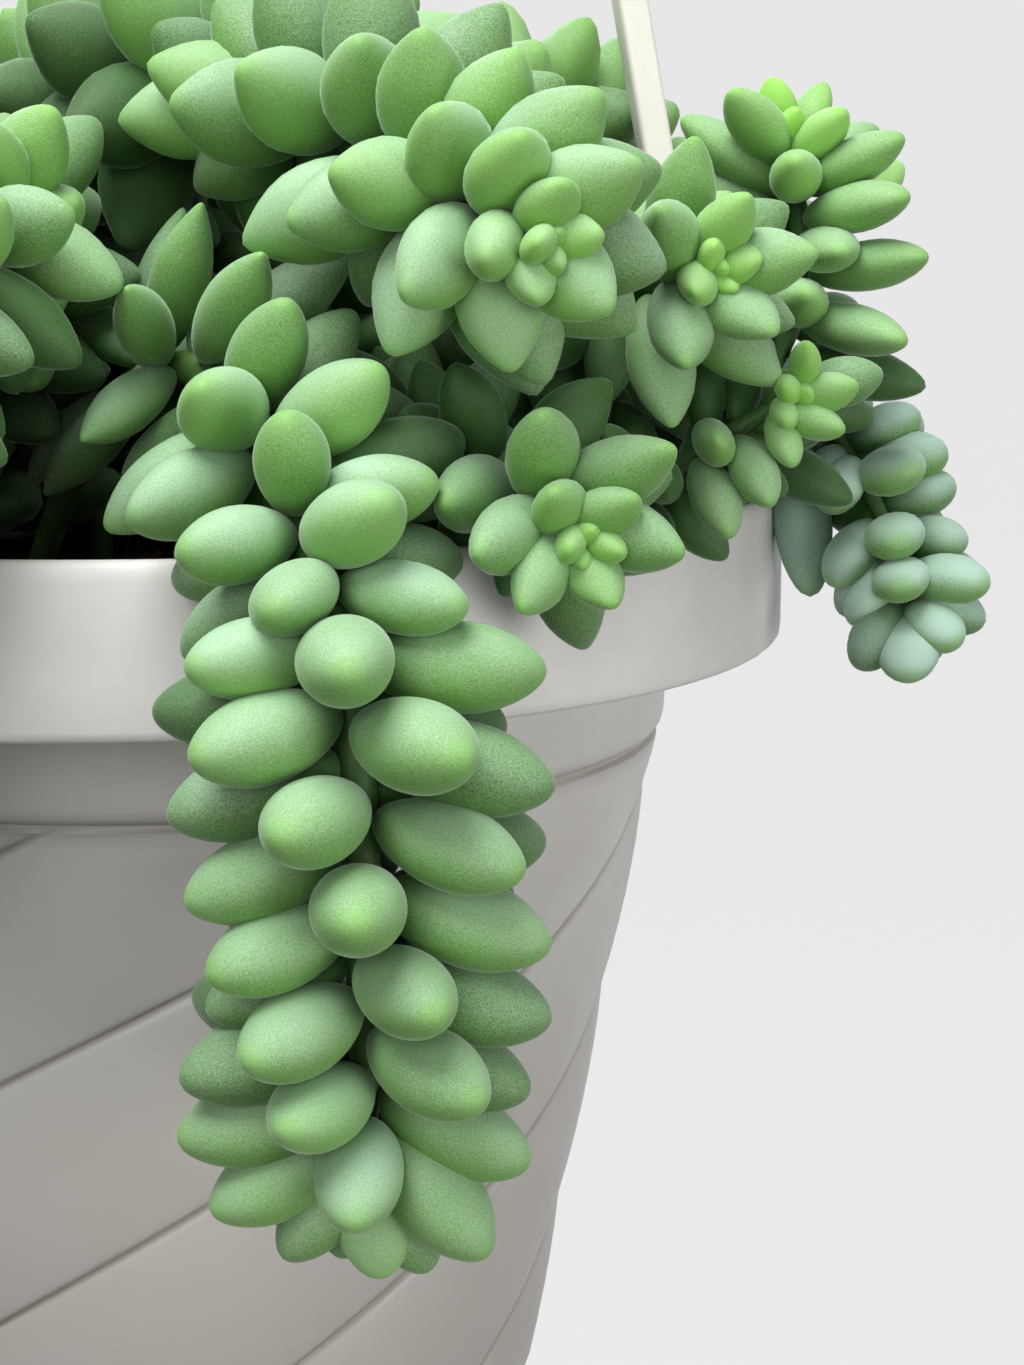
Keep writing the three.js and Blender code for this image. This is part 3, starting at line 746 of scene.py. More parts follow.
@dataclass
class SwirledPot:
    """The moulded pot: a tapered body with seven swirling bands, a ring, a collar and a rim."""

    finish: MouldedPlastic
    swirl_rows: int = 60
    pillow: float = 1.45  # how far the middle of a band stands out, in millimetres
    groove: float = 0.7  # how deep the groove between two bands is
    groove_share: float = 0.017  # how wide it is, as a share of a band
    smudge_and_shadow_angle: float = -26.0  # where leaves hang over the rim, leave grime and cast painted shadow, in degrees
    smudge_and_shadow_reach: float = 13.0  # how far round the rim that goes
    most_smudge_and_shadow: float = 0.5  # how much grime and painted shadow lies there, as a share of what lies in the grooves
    dirt_and_shade_reach: float = 1.5  # how far dirt and painted shade lie round the ring groove, in millimetres
    band_columns: tuple[float, ...] = (
        0.0, 0.009, 0.018, 0.03, 0.06, 0.11, 0.18, 0.26, 0.35, 0.45, 0.55, 0.65, 0.74, 0.82, 0.89,
        0.94, 0.97, 0.982, 0.991,
    )
    hole_sides: int = 24

    def swirl_angle(self, z: float) -> float:
        """Returns the angle in degrees by which the swirl has turned at a height."""
        drop = max(0.0, RING_GROOVE_Z - z)
        return SWIRL_START - SWIRL_TURN * drop + SWIRL_EASE * drop * drop

    def rings(self) -> list[tuple[float, float]]:
        """Returns the rings of the pot's profile, from its base up, over the rim and down."""
        top = RING_GROOVE_Z - 1.6
        outer = [(BASE_RADIUS - 1.0, 0.0), (BASE_RADIUS - 0.3, 0.25), (BASE_RADIUS, 0.9)]
        for row in range(1, self.swirl_rows + 1):
            z = 0.9 + (top - 0.9) * row / self.swirl_rows
            outer.append((body_radius(z), z))
        for step, rise in ((0.0, -0.8), (-0.55, -0.2), (-0.6, 0.3), (0.1, 0.9), (0.45, 1.6), (0.5, 2.6)):
            z = RING_GROOVE_Z + rise
            outer.append((body_radius(z) + step, z))
        for z in (116.0, 119.5, 123.0, 125.2):
            outer.append((body_radius(z) + 0.1, z))
        rim = [
            (BODY_RADIUS + 0.5, RIM_FOOT_Z), (RIM_RADIUS - 1.5, RIM_FOOT_Z),
            (RIM_RADIUS - 0.7, RIM_FOOT_Z + 0.2), (RIM_RADIUS - 0.15, RIM_FOOT_Z + 0.8),
            (RIM_RADIUS, RIM_FOOT_Z + 1.8), (RIM_RADIUS, RIM_FOOT_Z + 8), (RIM_RADIUS, POT_HEIGHT - 8),
            (RIM_RADIUS, POT_HEIGHT - 2.6), (RIM_RADIUS - 0.12, POT_HEIGHT - 1.5),
            (RIM_RADIUS - 0.5, POT_HEIGHT - 0.6), (RIM_RADIUS - 1.1, POT_HEIGHT - 0.1),
            (RIM_RADIUS - 1.6, POT_HEIGHT), (RIM_INNER_RADIUS + 0.25, POT_HEIGHT - 0.3),
            (RIM_INNER_RADIUS, POT_HEIGHT - 1.0),
        ]
        inner = [
            (RIM_INNER_RADIUS, POT_HEIGHT - 9), (RIM_INNER_RADIUS, RIM_FOOT_Z + LEDGE + 0.8),
            (RIM_INNER_RADIUS - 0.8, RIM_FOOT_Z + LEDGE),
            (BODY_RADIUS - WALL + 0.8, RIM_FOOT_Z + LEDGE),
            (BODY_RADIUS - WALL, RIM_FOOT_Z + LEDGE - 0.8), (body_radius(FLOOR + 1) - WALL, FLOOR + 1),
            (body_radius(FLOOR) - WALL - 1, FLOOR),
        ]
        return outer + rim + inner

    def relief(self, share: float) -> float:
        """Returns how far a band stands out at a share of its width, with a groove at each edge."""
        pillow = self.pillow * (1 - abs(2 * share - 1) ** 2.2) - self.pillow * 0.6
        edge = min(share, 1 - share) / self.groove_share
        return pillow - self.groove * math.exp(-edge * edge)

    def shape(self, place: Vector) -> Vector:
        """Turns and swells one vertex of the plain tapered pot into the swirl.

        Args:
            place: The vertex's place in metres, its angle a share of its band.

        Returns:
            Its place in the swirled pot.
        """
        z = place.z / MM
        radius = math.hypot(place.x, place.y) / MM
        turned = angle_round(place) + self.swirl_angle(z)
        outside = radius > body_radius(z) - 1.2
        if outside and z < RING_GROOVE_Z - 0.5:
            share = (angle_round(place) * BANDS / 360) % 1.0
            fade = min(1.0, z / 2.0) * min(1.0, (RING_GROOVE_Z - z) / 2.4)
            radius += self.relief(share) * fade
        return Vector(polar(radius, turned, z)) * MM

    def mark_dirt_and_shade(self, pot: Piece) -> None:
        """Marks where dirt and painted shade lie, as the attribute that the plastic reads.

        Args:
            pot: The finished shape.
        """
        dirt_and_shade = pot.data.attributes.new("dirt_and_shade", "FLOAT", "POINT")
        for vertex, value in zip(pot.data.vertices, dirt_and_shade.data, strict=True):
            place = vertex.co / MM
            angle = angle_round(place)
            # dirt with painted shade in the ring groove and the swirl's grooves, grime with painted
            # shadow on the rim
            ring = math.exp(-(((place.z - RING_GROOVE_Z) / self.dirt_and_shade_reach) ** 2))
            other = 0.0
            if place.z < RING_GROOVE_Z:
                share = ((angle - self.swirl_angle(place.z)) * BANDS / 360) % 1.0
                other = math.exp(-((min(share, 1 - share) / self.groove_share) ** 2))
            elif place.z > RIM_FOOT_Z:
                # grime and painted shadow on the rim where leaves hang over it
                off = (angle - self.smudge_and_shadow_angle) / self.smudge_and_shadow_reach
                other = self.most_smudge_and_shadow * math.exp(-(off**2))
            value.value = max(ring, other)

    def spread_columns(self, place: Vector) -> Vector:
        """Moves an even column of the first circle to its place across a band."""
        count = len(self.band_columns) * BANDS
        column = round(angle_round(place) * count / 360) % count
        band, within = divmod(column, len(self.band_columns))
        angle = (band + self.band_columns[within]) * 360 / BANDS
        return Vector(polar(math.hypot(place.x, place.y) / MM, angle, place.z / MM)) * MM

    def hole(self, start: Triple, end: Triple, radius: float) -> Piece:
        """Returns a round cutter between two places."""
        return rod("cutter", (start, end), (radius, radius), self.hole_sides)

    def build(self) -> None:
        """Builds and dresses the pot."""
        pot = drawn_up("pot_body", len(self.band_columns) * BANDS, self.rings())
        move_vertices(pot, self.spread_columns)
        move_vertices(pot, self.shape)
        cutters = []
        for k in range(DRAIN_HOLES):
            angle = 30 + k * 360 / DRAIN_HOLES
            ends = [polar(DRAIN_CIRCLE, angle, z) for z in (-3.0, FLOOR + 3)]
            cutters.append(self.hole(*ends, DRAIN_RADIUS))
        for angle in STRAND_ANGLES:
            ends = [polar(r, angle, PEG_Z) for r in (RIM_INNER_RADIUS - 3, RIM_RADIUS + 3)]
            cutters.append(self.hole(*ends, PEG_HOLE_RADIUS))
        cut(pot, join(cutters, "cutters"), Side.TAKE_AWAY)
        self.mark_dirt_and_shade(pot)
        smooth(pot, PLASTIC_CREASE)
        dress(pot, self.finish.material())
        declare(pot, Slot.POT, "pot")


# Soil


@dataclass
class SoilBed:
    """The potting mix that fills the pot, with a crumbly top and a hole for each stem."""

    finish: PottingMix
    grit: Perlite
    stem_roots: Sequence[Triple]
    sides: int = 96
    top_rings: int = 26
    hole_radius: float = 2.8
    lump_mm: float = 1.1
    lump_across: float = 11.0
    clod_across: float = 3.4
    crumbs: int = 620
    smallest_crumb: float = 0.7
    crumb_spread: float = 1.1
    stem_room: float = 4.2
    perlite_share: float = 0.12

    def rings(self) -> list[tuple[float, float]]:
        """Returns the rings of the bed, from the middle of its foot to the middle of its top."""
        wall = BODY_RADIUS - WALL - GAP
        foot = body_radius(FLOOR) - WALL - 1.4
        ledge = RIM_FOOT_Z + LEDGE + GAP
        edge = RIM_INNER_RADIUS - GAP
        rings = [(foot, FLOOR + GAP), (wall - 0.6, ledge), (edge - 0.6, ledge), (edge, ledge + 0.6)]
        rings.append((edge, SOIL_EDGE_Z - 0.4))
        for k in range(self.top_rings):
            radius = edge - 0.8 - (edge - 3) * k / (self.top_rings - 1)
            rings.append((radius, self.top_at(radius)))
        return rings

    def top_at(self, radius: float) -> float:
        """Returns the height of the bed's top between its lumps at a radius."""
        return float(soil_height(radius)) - self.lump_mm * 0.5

    def lump(self, place: Vector) -> Vector:
        """Raises or lowers one vertex of the bed's top."""
        radius = math.hypot(place.x, place.y) / MM
        if place.z / MM < SOIL_EDGE_Z - 1.5 or radius > RIM_INNER_RADIUS - 1:
            return place
        rise = noise.noise(place / (self.lump_across * MM))
        rise += 0.6 * noise.noise(place / (self.clod_across * MM))
        return place + Vector((0, 0, rise * self.lump_mm * MM))

    def crumb_pattern(self) -> Piece:
        """Models the one crumb that all the others copy."""
        deselect_all()
        bpy.ops.mesh.primitive_ico_sphere_add(subdivisions=2, radius=1.0)
        crumb = bpy.context.object
        bpy.ops.object.mode_set(mode="EDIT")
        pick(crumb, lambda p: p.z > 0.45)
        bpy.ops.transform.resize(value=(0.7, 0.9, 0.6), center_override=(0, 0, 0.3))
        pick(crumb, lambda p: p.x > 0.5)
        bpy.ops.transform.translate(value=(0.3, 0.1, -0.15))
        bpy.ops.object.mode_set(mode="OBJECT")
        move_vertices(crumb, lambda p: p * (1 + 0.35 * noise.noise(p * 1.7)))
        return crumb

    def clear_of_stems(self, x: float, y: float, margin: float) -> bool:
        """Says whether a place on the bed is clear of every stem."""
        return all(math.hypot(x - root[0], y - root[1]) > margin for root in self.stem_roots)

    def scatter(self) -> None:
        """Copies the crumb all over the bed and joins the copies."""
        pattern = self.crumb_pattern()
        pattern.data.materials.append(self.finish.material())
        pattern.data.materials.append(self.grit.material())
        copies = []
        for k in range(self.crumbs):
            radius = (RIM_INNER_RADIUS - 4) * math.sqrt(draw(3, k))
            x, y, _ = polar(radius, 360 * draw(4, k), 0)
            size = self.smallest_crumb + self.crumb_spread * draw(5, k) ** 2
            if not self.clear_of_stems(x, y, self.stem_room + size):
                continue
            copy = new_object("crumb", pattern.data.copy())
            turn = Euler([6.28 * draw(seed, k) for seed in (6, 7, 8)]).to_matrix()
            place = Vector((x, y, self.top_at(radius) + 0.5 * size)) * MM
            copy.data.transform(Matrix.Translation(place) @ turn.to_4x4() @ Matrix.Scale(size * MM, 4))
            is_grit = draw(9, k) < self.perlite_share
            for face in copy.data.polygons:
                face.material_index = int(is_grit)
            copies.append(copy)
        bpy.data.objects.remove(pattern)
        crumbs = join(copies, "soil_crumbs")
        smooth(crumbs, SOIL_CREASE)
        declare(crumbs, Slot.SOIL)

    def build(self) -> None:
        """Builds and dresses the bed and its crumbs."""
        bed = drawn_up("soil_bed", self.sides, self.rings())
        move_vertices(bed, self.lump)
        cutters = []
        for root in self.stem_roots:
            ends = [(root[0], root[1], z) for z in (STEM_FOOT_Z - 0.4, SOIL_TOP_Z + 8)]
            cutters.append(rod("cutter", ends, (self.hole_radius,) * 2, 12))
        cut(bed, join(cutters, "cutters"), Side.TAKE_AWAY)
        smooth(bed, SOIL_CREASE)
        dress(bed, self.finish.material())
        declare(bed, Slot.SOIL, "soil")
        self.scatter()


# Hanger


@dataclass
class Hanger:
    """Three moulded strands that run from the rim to a hub with an open hook on top."""

    finish: MouldedPlastic
    bevel: float = 0.9
    pad_width: float = 9.5
    pad_height: float = 11.0
    neck_height: float = 12.0
    hook_from: int = -62  # where the hook's bend starts, in degrees
    hook_to: int = 198  # where it ends
    hook_step: int = 5

    def bar(self, angle: float, grow: float, to_top: float) -> Piece:
        """Models one strand's bar, from its pad inside the rim to the hub.

        Args:
            angle: The strand's angle round the pot in degrees.
            grow: How much wider than the strand the bar is all round, for a cutter.
            to_top: How far the bar ends short of the strand's own top.

        Returns:
            The bar as a closed mesh.
        """
        foot = Vector(polar(STRAND_FOOT_RADIUS, 0, STRAND_FOOT_Z))
        top = Vector(polar(STRAND_TOP_RADIUS, 0, HUB_Z))
        along = (top - foot).normalized()
        length = (top - foot).length - to_top
        deselect_all()
        bpy.ops.mesh.primitive_cube_add(size=1, location=(0, 0, 0))
        piece = bpy.context.object
        width, thickness = STRAND_WIDTH + 2 * grow, STRAND_THICKNESS + 2 * grow
        piece.scale = (thickness * MM, width * MM, self.pad_height * MM)
        piece.location = (0, 0, 0.5 * self.pad_height * MM)
        settle_origin(piece)
        bpy.ops.object.mode_set(mode="EDIT")
        pick(piece, lambda p: p.z > 0.9 * self.pad_height * MM)
        shoulder, middle = 5.0, 0.45 * length
        steps = (shoulder, middle, length - self.pad_height - shoulder - middle)
        for step in steps:
            bpy.ops.mesh.extrude_region_move(TRANSFORM_OT_translate={"value": (0, 0, step * MM)})
        if grow == 0:
            pick(piece, lambda p: p.z < (self.pad_height + 0.1) * MM)
            share = self.pad_width / STRAND_WIDTH
            bpy.ops.transform.resize(value=(1, share, 1), center_override=(0, 0, 0))
        bpy.ops.object.mode_set(mode="OBJECT")
        if grow == 0:
            apply_modifier(
                piece, "BEVEL", width=self.bevel * MM, segments=3, limit_method="ANGLE", angle_limit=0.9
            )
        turn = Vector((0, 0, 1)).rotation_difference(along).to_matrix().to_4x4()
        round_axis = Matrix.Rotation(math.radians(angle), 4, "Z")
        piece.data.transform(round_axis @ Matrix.Translation(foot * MM) @ turn)
        return piece

    def button(self, angle: float) -> Piece:
        """Models the peg through the rim and its domed head outside.

        Args:
            angle: The strand's angle round the pot in degrees.

        Returns:
            The peg as a closed mesh.
        """
        rings = [
            (PEG_RADIUS, STRAND_FOOT_RADIUS - 0.8), (PEG_RADIUS, RIM_RADIUS + GAP),
            (PEG_HEAD_RADIUS, RIM_RADIUS + GAP), (PEG_HEAD_RADIUS, RIM_RADIUS + GAP + 0.9),
            (PEG_HEAD_RADIUS * 0.9, RIM_RADIUS + GAP + 1.6),
            (PEG_HEAD_RADIUS * 0.62, RIM_RADIUS + GAP + 2.15),
            (PEG_HEAD_RADIUS * 0.25, RIM_RADIUS + GAP + 2.4),
        ]
        piece = drawn_up("button", 28, rings)
        lay = Matrix.Rotation(math.radians(90), 4, "Y")
        round_axis = Matrix.Rotation(math.radians(angle), 4, "Z")
        piece.data.transform(round_axis @ Matrix.Translation((0, 0, PEG_Z * MM)) @ lay)
        return piece

    def strand(self, number: int, angle: float, plastic: bpy.types.Material) -> None:
        """Builds and dresses one strand with its button.

        Args:
            number: The strand's number.
            angle: Its angle round the pot in degrees.
            plastic: Its material.
        """
        bar = self.bar(angle, 0.0, 0.0)
        cut(bar, self.button(angle), Side.JOIN)
        bar.name = f"strand_{number}"
        smooth(bar, PLASTIC_CREASE)
        dress(bar, plastic)
        declare(bar, Slot.HANGER, f"hanger_strand_{number}")

    def hook_line(self) -> list[Triple]:
        """Returns the middle line of the hook's rod, from inside the hub round the bend."""
        neck = HUB_FOOT_Z + HUB_HEIGHT + self.neck_height
        line = [(0.0, 0.0, neck - drop) for drop in (16, 6, 0)]
        for degrees in range(self.hook_from, self.hook_to + 1, self.hook_step):
            angle = math.radians(degrees)
            x = HOOK_BEND * math.cos(angle)
            line.append((x, 0.0, neck + HOOK_BEND + 6 + HOOK_BEND * math.sin(angle)))
        return line

    def hook(self, plastic: bpy.types.Material) -> None:
        """Builds and dresses the hub, its sockets and the hook.

        Args:
            plastic: Their material.
        """
        low = HUB_FOOT_Z
        high = HUB_FOOT_Z + HUB_HEIGHT
        rings = [
            (HUB_RADIUS - 2.4, low), (HUB_RADIUS - 1.2, low + 0.3), (HUB_RADIUS - 0.3, low + 1.1),
            (HUB_RADIUS, low + 2.4), (HUB_RADIUS, high - 7), (HUB_RADIUS - 0.5, high - 5.2),
            (HUB_RADIUS - 2.0, high - 3.2), (HUB_RADIUS - 4.4, high - 1.4),
            (HOOK_ROD + 1.6, high - 0.3), (HOOK_ROD + 0.4, high),
        ]
        hub = drawn_up("hanger_top", 48, rings)
        line = self.hook_line()
        radii = [HOOK_ROD] * (len(line) - 4) + [HOOK_ROD * k for k in (0.97, 0.9, 0.78, 0.5)]
        cut(hub, rod("hook_rod", line, radii, 16), Side.JOIN)
        for angle in STRAND_ANGLES:
            cut(hub, self.bar(angle, GAP, -GAP), Side.TAKE_AWAY)
        smooth(hub, PLASTIC_CREASE)
        dress(hub, plastic)
        declare(hub, Slot.HANGER, "hanger_hook")

    def build(self) -> None:
        """Builds the three strands and the hook."""
        plastic = self.finish.material()
        for number, angle in enumerate(STRAND_ANGLES, 1):
            self.strand(number, angle, plastic)
        self.hook(plastic)


# Plant


@dataclass(frozen=True)
class SeenLeaf:
    """A leaf that the photo shows: it is rooted in its stem and its tip is where it is seen."""

    at: float  # how far up the stem it is rooted
    x: float  # the pixel of its tip, from the left
    y: float  # the pixel of its tip, from the top
    size: float = 1.0
    away: bool = False  # whether it points away from the camera


@dataclass(frozen=True)
class StemPlan:
    """Where one stem runs and what its leaves are like."""

    name: str
    points: tuple[Triple, ...]
    scale: float = 1.0
    phase: float = 0.0
    spin: int = 1
    glow: float = 0.5  # how fresh a green its youngest leaves are
    bloom: float = 0.7  # how thick the powder lies
    light: float = 0.0  # how light a green even its old leaves are
    freedom: float = 1.0  # how readily its leaves give way
    lift: float = 0.25  # how much its leaves turn up to the light
    spacing: float = 1.9  # how far along the stem one leaf is from the next
    open_ranks: float = 6.0  # how soon the leaves open out, counted in leaves from the tip
    grow_ranks: float = 8.5  # how soon they reach their full size
    plump: float = 1.0  # how wide and thick they are for their length
    point: float = 0.3  # how much they taper to a point
    fan: float = 0.0  # how far from the soil they are long and slim and stand up
    bare: float = 14.0  # how far from the soil its leaves start
    smoothing: int = 0  # how often its mesh is divided, more where it is seen from near by
    seen: tuple[SeenLeaf, ...] = ()  # the leaves on its near side that the photo shows


@dataclass
class LeafPattern:
    """The one leaf that every other copies, with its root at the origin and its tip up +Z.

    It is modelled at its real size, 1 unit to the millimetre.
    """

    length: float = 23.0
    width: float = 13.8
    thickness: float = 11.7
    sides: int = 10
    stations: tuple[tuple[float, float], ...] = (
        (0.06, 0.42), (0.22, 0.78), (0.42, 0.99), (0.65, 1.03), (0.84, 0.84), (0.97, 0.48)
    )
    overshoot: float = 1.03  # what its tip loses when its mesh is smoothed
    keel: float = 1.07  # how much wider its two edges are drawn out
    under_side: float = 0.92  # how much flatter its under side is
    aside: float = 100.0  # how far up a finished ring waits, out of reach of the next pick

    def build(self) -> Piece:
        """Shapes a sphere ring by ring into the leaf.

        Returns:
            The pattern leaf.
        """
        deselect_all()
        rings = len(self.stations) + 1
        bpy.ops.mesh.primitive_uv_sphere_add(segments=self.sides, ring_count=rings, radius=1)
        leaf = bpy.context.object
        leaf.name = "leaf_pattern"
        bpy.ops.object.mode_set(mode="EDIT")
        for k, (share, swell) in enumerate(self.stations, 1):
            z = -math.cos(math.pi * k / rings)
            radius = math.sin(math.pi * k / rings)
            pick(leaf, lambda p, z=z: abs(p.z - z) < 1e-3 and math.hypot(p.x, p.y) > 1e-3)
            across = (swell * self.width / 2 / radius, swell * self.thickness / 2 / radius, 1)
            bpy.ops.transform.resize(value=across, center_override=(0, 0, z))
            bpy.ops.transform.translate(value=(0, 0, self.aside + share * self.length - z))
        pick(leaf, lambda p: abs(p.z + 1) < 1e-3)
        bpy.ops.transform.translate(value=(0, 0, self.aside + 1))
        pick(leaf, lambda p: abs(p.z - 1) < 1e-3)
        bpy.ops.transform.translate(value=(0, 0, self.aside - 1 + self.length * self.overshoot))
        bpy.ops.mesh.select_all(action="SELECT")
        bpy.ops.transform.translate(value=(0, 0, -self.aside))
        pick(leaf, lambda p: abs(p.y) < 0.2 and abs(p.x) > 1.5)
        bpy.ops.transform.resize(value=(self.keel, 1, 1), center_override=(0, 0, 0))
        pick(leaf, lambda p: p.y < -0.5)
        bpy.ops.transform.resize(value=(1, self.under_side, 1), center_override=(0, 0, 0))
        bpy.ops.mesh.select_all(action="SELECT")
        bpy.ops.mesh.normals_make_consistent(inside=False)
        bpy.ops.object.mode_set(mode="OBJECT")
        bpy.ops.object.shade_smooth()
        leaf.data.attributes.new("leaf", "FLOAT_COLOR", "POINT")
        return leaf


@dataclass
class Foliage:
    """Every leaf of the plant, one row of each array for each leaf, in millimetres."""

    root: Rows
    axis: Rows
    wide: Rows
    size: Rows
    stem: Rows
    rank: Rows
    fan: Rows
    freedom: Rows
    shade: Rows
    pattern: LeafPattern
    ball_shares: tuple[float, ...] = (0.3, 0.55, 0.8)  # where along a leaf its balls lie
    ball_radii: tuple[float, ...] = (0.78, 1.0, 0.78)
    touching: float = 28.0  # how near the middles of two leaves are that may touch
    rounds: int = 16
    squeeze: float = 0.9  # how near two leaves may press, as a share of their radii
    wall_push: float = 1.2  # how much harder the walls push than the leaves do
    follow: float = 0.7  # how much of a push a leaf follows in one round
    most_step: float = 0.16  # how far it may turn in one round, in radians
    recall: float = 0.05  # how much of the way home it springs back in one round
    most_turn: float = 0.7  # how far it may turn from where it grew, in radians
    shrinkings: int = 8
    pressed: float = 0.8  # the overlap that reads as two leaves pressed together
    wall_pressed: float = 0.4  # and as a leaf pressed to a wall
    shrink_over: float = 12.0  # the overlap that would shrink a leaf to nothing at once
    most_shrink: float = 0.12  # how much it may shrink at once, as a share of its size
    seen_least: float = 0.98  # the least share of its size that a seen leaf keeps
    kept_least: float = 0.55  # the share of its size below which a leaf is dropped
    well_above: float = 5.0  # how much higher a leaf lies that shades another
    shaded_from: float = 2.5  # from how many leaves above it a leaf is shaded
    shaded_over: float = 6.0  # over how many more it gets fully so
    home: Rows = field(init=False)
    covered: Rows = field(init=False)

    def __post_init__(self) -> None:
        """Keeps the directions in which the leaves grew, and takes them all to lie open."""
        self.home = self.axis.copy()
        self.covered = np.zeros(len(self.size))

    def balls(self) -> tuple[Rows, Rows]:
        """Returns three balls that stand for each leaf: their middles and their radii."""
        shares = np.array(self.ball_shares)
        reach = self.size[:, None] * shares * self.pattern.length
        middles = self.root[:, None, :] + self.axis[:, None, :] * reach[:, :, None]
        plump = (self.pattern.width + self.pattern.thickness) / 4
        return middles, self.size[:, None] * plump * np.array(self.ball_radii)

    def neighbours(self) -> tuple[Rows, Rows]:
        """Returns the pairs of leaves that are near enough to touch."""
        middle = self.balls()[0][:, 1]
        first, second = [], []
        for i in range(len(middle) - 1):
            apart = np.sum((middle[i + 1 :] - middle[i]) ** 2, axis=1)
            near = np.nonzero(apart < self.touching**2)[0]
            first.append(np.full(len(near), i))
            second.append(near + i + 1)
        return np.concatenate(first), np.concatenate(second)

    def presses(self, first: Rows, second: Rows) -> Iterable[tuple[int, int, Rows, Rows, Rows]]:
        """Goes through the pairs of balls of neighbouring leaves that overlap.

        Args:
            first: The first leaf of each pair.
            second: The second leaf of each pair.

        Yields:
            The two ball numbers, which pairs overlap, the direction from second to first, and
            how deep.
        """
        middles, radii = self.balls()
        for a, b in product(range(len(self.ball_shares)), repeat=2):
            apart = middles[first, a] - middles[second, b]
            distance = np.linalg.norm(apart, axis=1)
            deep = (radii[first, a] + radii[second, b]) * self.squeeze - distance
            if a == 0 and b == 0:
                deep[self.stem[first] == self.stem[second]] = -1
            hit = np.nonzero(deep > 0)[0]
            yield a, b, hit, apart[hit] / np.maximum(distance[hit], 1e-6)[:, None], deep[hit]

    def settle(self, walls: "Walls") -> None:
        """Turns the leaves out of each other and out of the walls, a little in each round.

        Args:
            walls: What else the leaves lie against.
        """
        first, second = self.neighbours()
        shares = np.array(self.ball_shares) * self.pattern.length
        for _ in range(self.rounds):
            push = np.zeros_like(self.axis)
            for a, b, hit, away, deep in self.presses(first, second):
                i, j = first[hit], second[hit]
                step = away * deep[:, None] * 0.5
                np.add.at(push, i, step / (shares[a] * self.size[i])[:, None])
                np.add.at(push, j, -step / (shares[b] * self.size[j])[:, None])
            middles, radii = self.balls()
            for a, share in enumerate(shares):
                shove = walls.shove(middles[:, a], radii[:, a], self.stem)
                push += self.wall_push * shove / (share * self.size)[:, None]
            push *= self.freedom[:, None] * self.follow
            push -= self.axis * np.sum(push * self.axis, axis=1, keepdims=True)
            length = np.linalg.norm(push, axis=1, keepdims=True)
            push *= np.minimum(1, self.most_step / np.maximum(length, 1e-9))
            self.axis = unit(self.axis + push + self.recall * (self.home - self.axis))
            self.hold_near_home()
        self.wide = unit(self.wide - self.axis * np.sum(self.wide * self.axis, axis=1, keepdims=True))

    def hold_near_home(self) -> None:
        """Keeps each leaf within the largest turn from where it grew."""
        cosine = np.clip(np.sum(self.axis * self.home, axis=1), -1, 1)
        turn = np.arccos(cosine)
        most = self.most_turn * self.freedom
        share = np.minimum(1, most / np.maximum(turn, 1e-6))[:, None]
        across = unit(self.axis - self.home * cosine[:, None])
        angle = turn[:, None] * share
        self.axis = unit(self.home * np.cos(angle) + across * np.sin(angle))

    def fit(self, walls: "Walls") -> Rows:
        """Shrinks the leaves that still press too deep, and drops the few that don't fit.

        Args:
            walls: What else the leaves lie against.

        Returns:
            Which leaves are kept.
        """
        first, second = self.neighbours()
        start = self.size.copy()
        for _ in range(self.shrinkings):
            worst = np.zeros(len(self.size))
            for _a, _b, hit, _away, deep in self.presses(first, second):
                i, j = first[hit], second[hit]
                give_i = self.freedom[i] / (self.freedom[i] + self.freedom[j])
                np.maximum.at(worst, i, (deep - self.pressed) * give_i)
                np.maximum.at(worst, j, (deep - self.pressed) * (1 - give_i))
            middles, radii = self.balls()
            for a in range(len(self.ball_shares)):
                depth = np.linalg.norm(walls.shove(middles[:, a], radii[:, a], self.stem), axis=1)
                worst = np.maximum(worst, depth - self.wall_pressed)
            least = np.where(self.freedom > SEEN_FREEDOM, 0.0, self.seen_least) * start
            shrink = np.clip(worst / self.shrink_over, 0, self.most_shrink)
            self.size = np.maximum(self.size * (1 - shrink), least)
        return self.size > start * self.kept_least

    def cover(self) -> None:
        """Finds how far each leaf lies under others, from 0 in the open to 1 deep inside."""
        middle = self.balls()[0][:, 1]
        first, second = self.neighbours()
        rise = middle[second, 2] - middle[first, 2]
        above = np.zeros(len(middle))
        higher = (second, first, rise > self.well_above)
        lower = (first, second, rise < -self.well_above)
        for over, under, chosen in (higher, lower):
            np.add.at(above, under[chosen], self.size[over[chosen]] ** 2)
        covered = np.clip((above - self.shaded_from) / self.shaded_over, 0, 1)
        self.covered = np.where(self.freedom == SEEN_FREEDOM, self.shade, covered)

    def key(self, row: int) -> int:
        """Returns the count that one leaf's draws are made with."""
        return self.stem[row] * 1000 + self.rank[row]

    def keep(self, kept: Rows) -> None:
        """Drops the leaves that aren't kept."""
        for key in (*LEAF_KEYS, "stem", "home"):
            setattr(self, key, getattr(self, key)[kept])


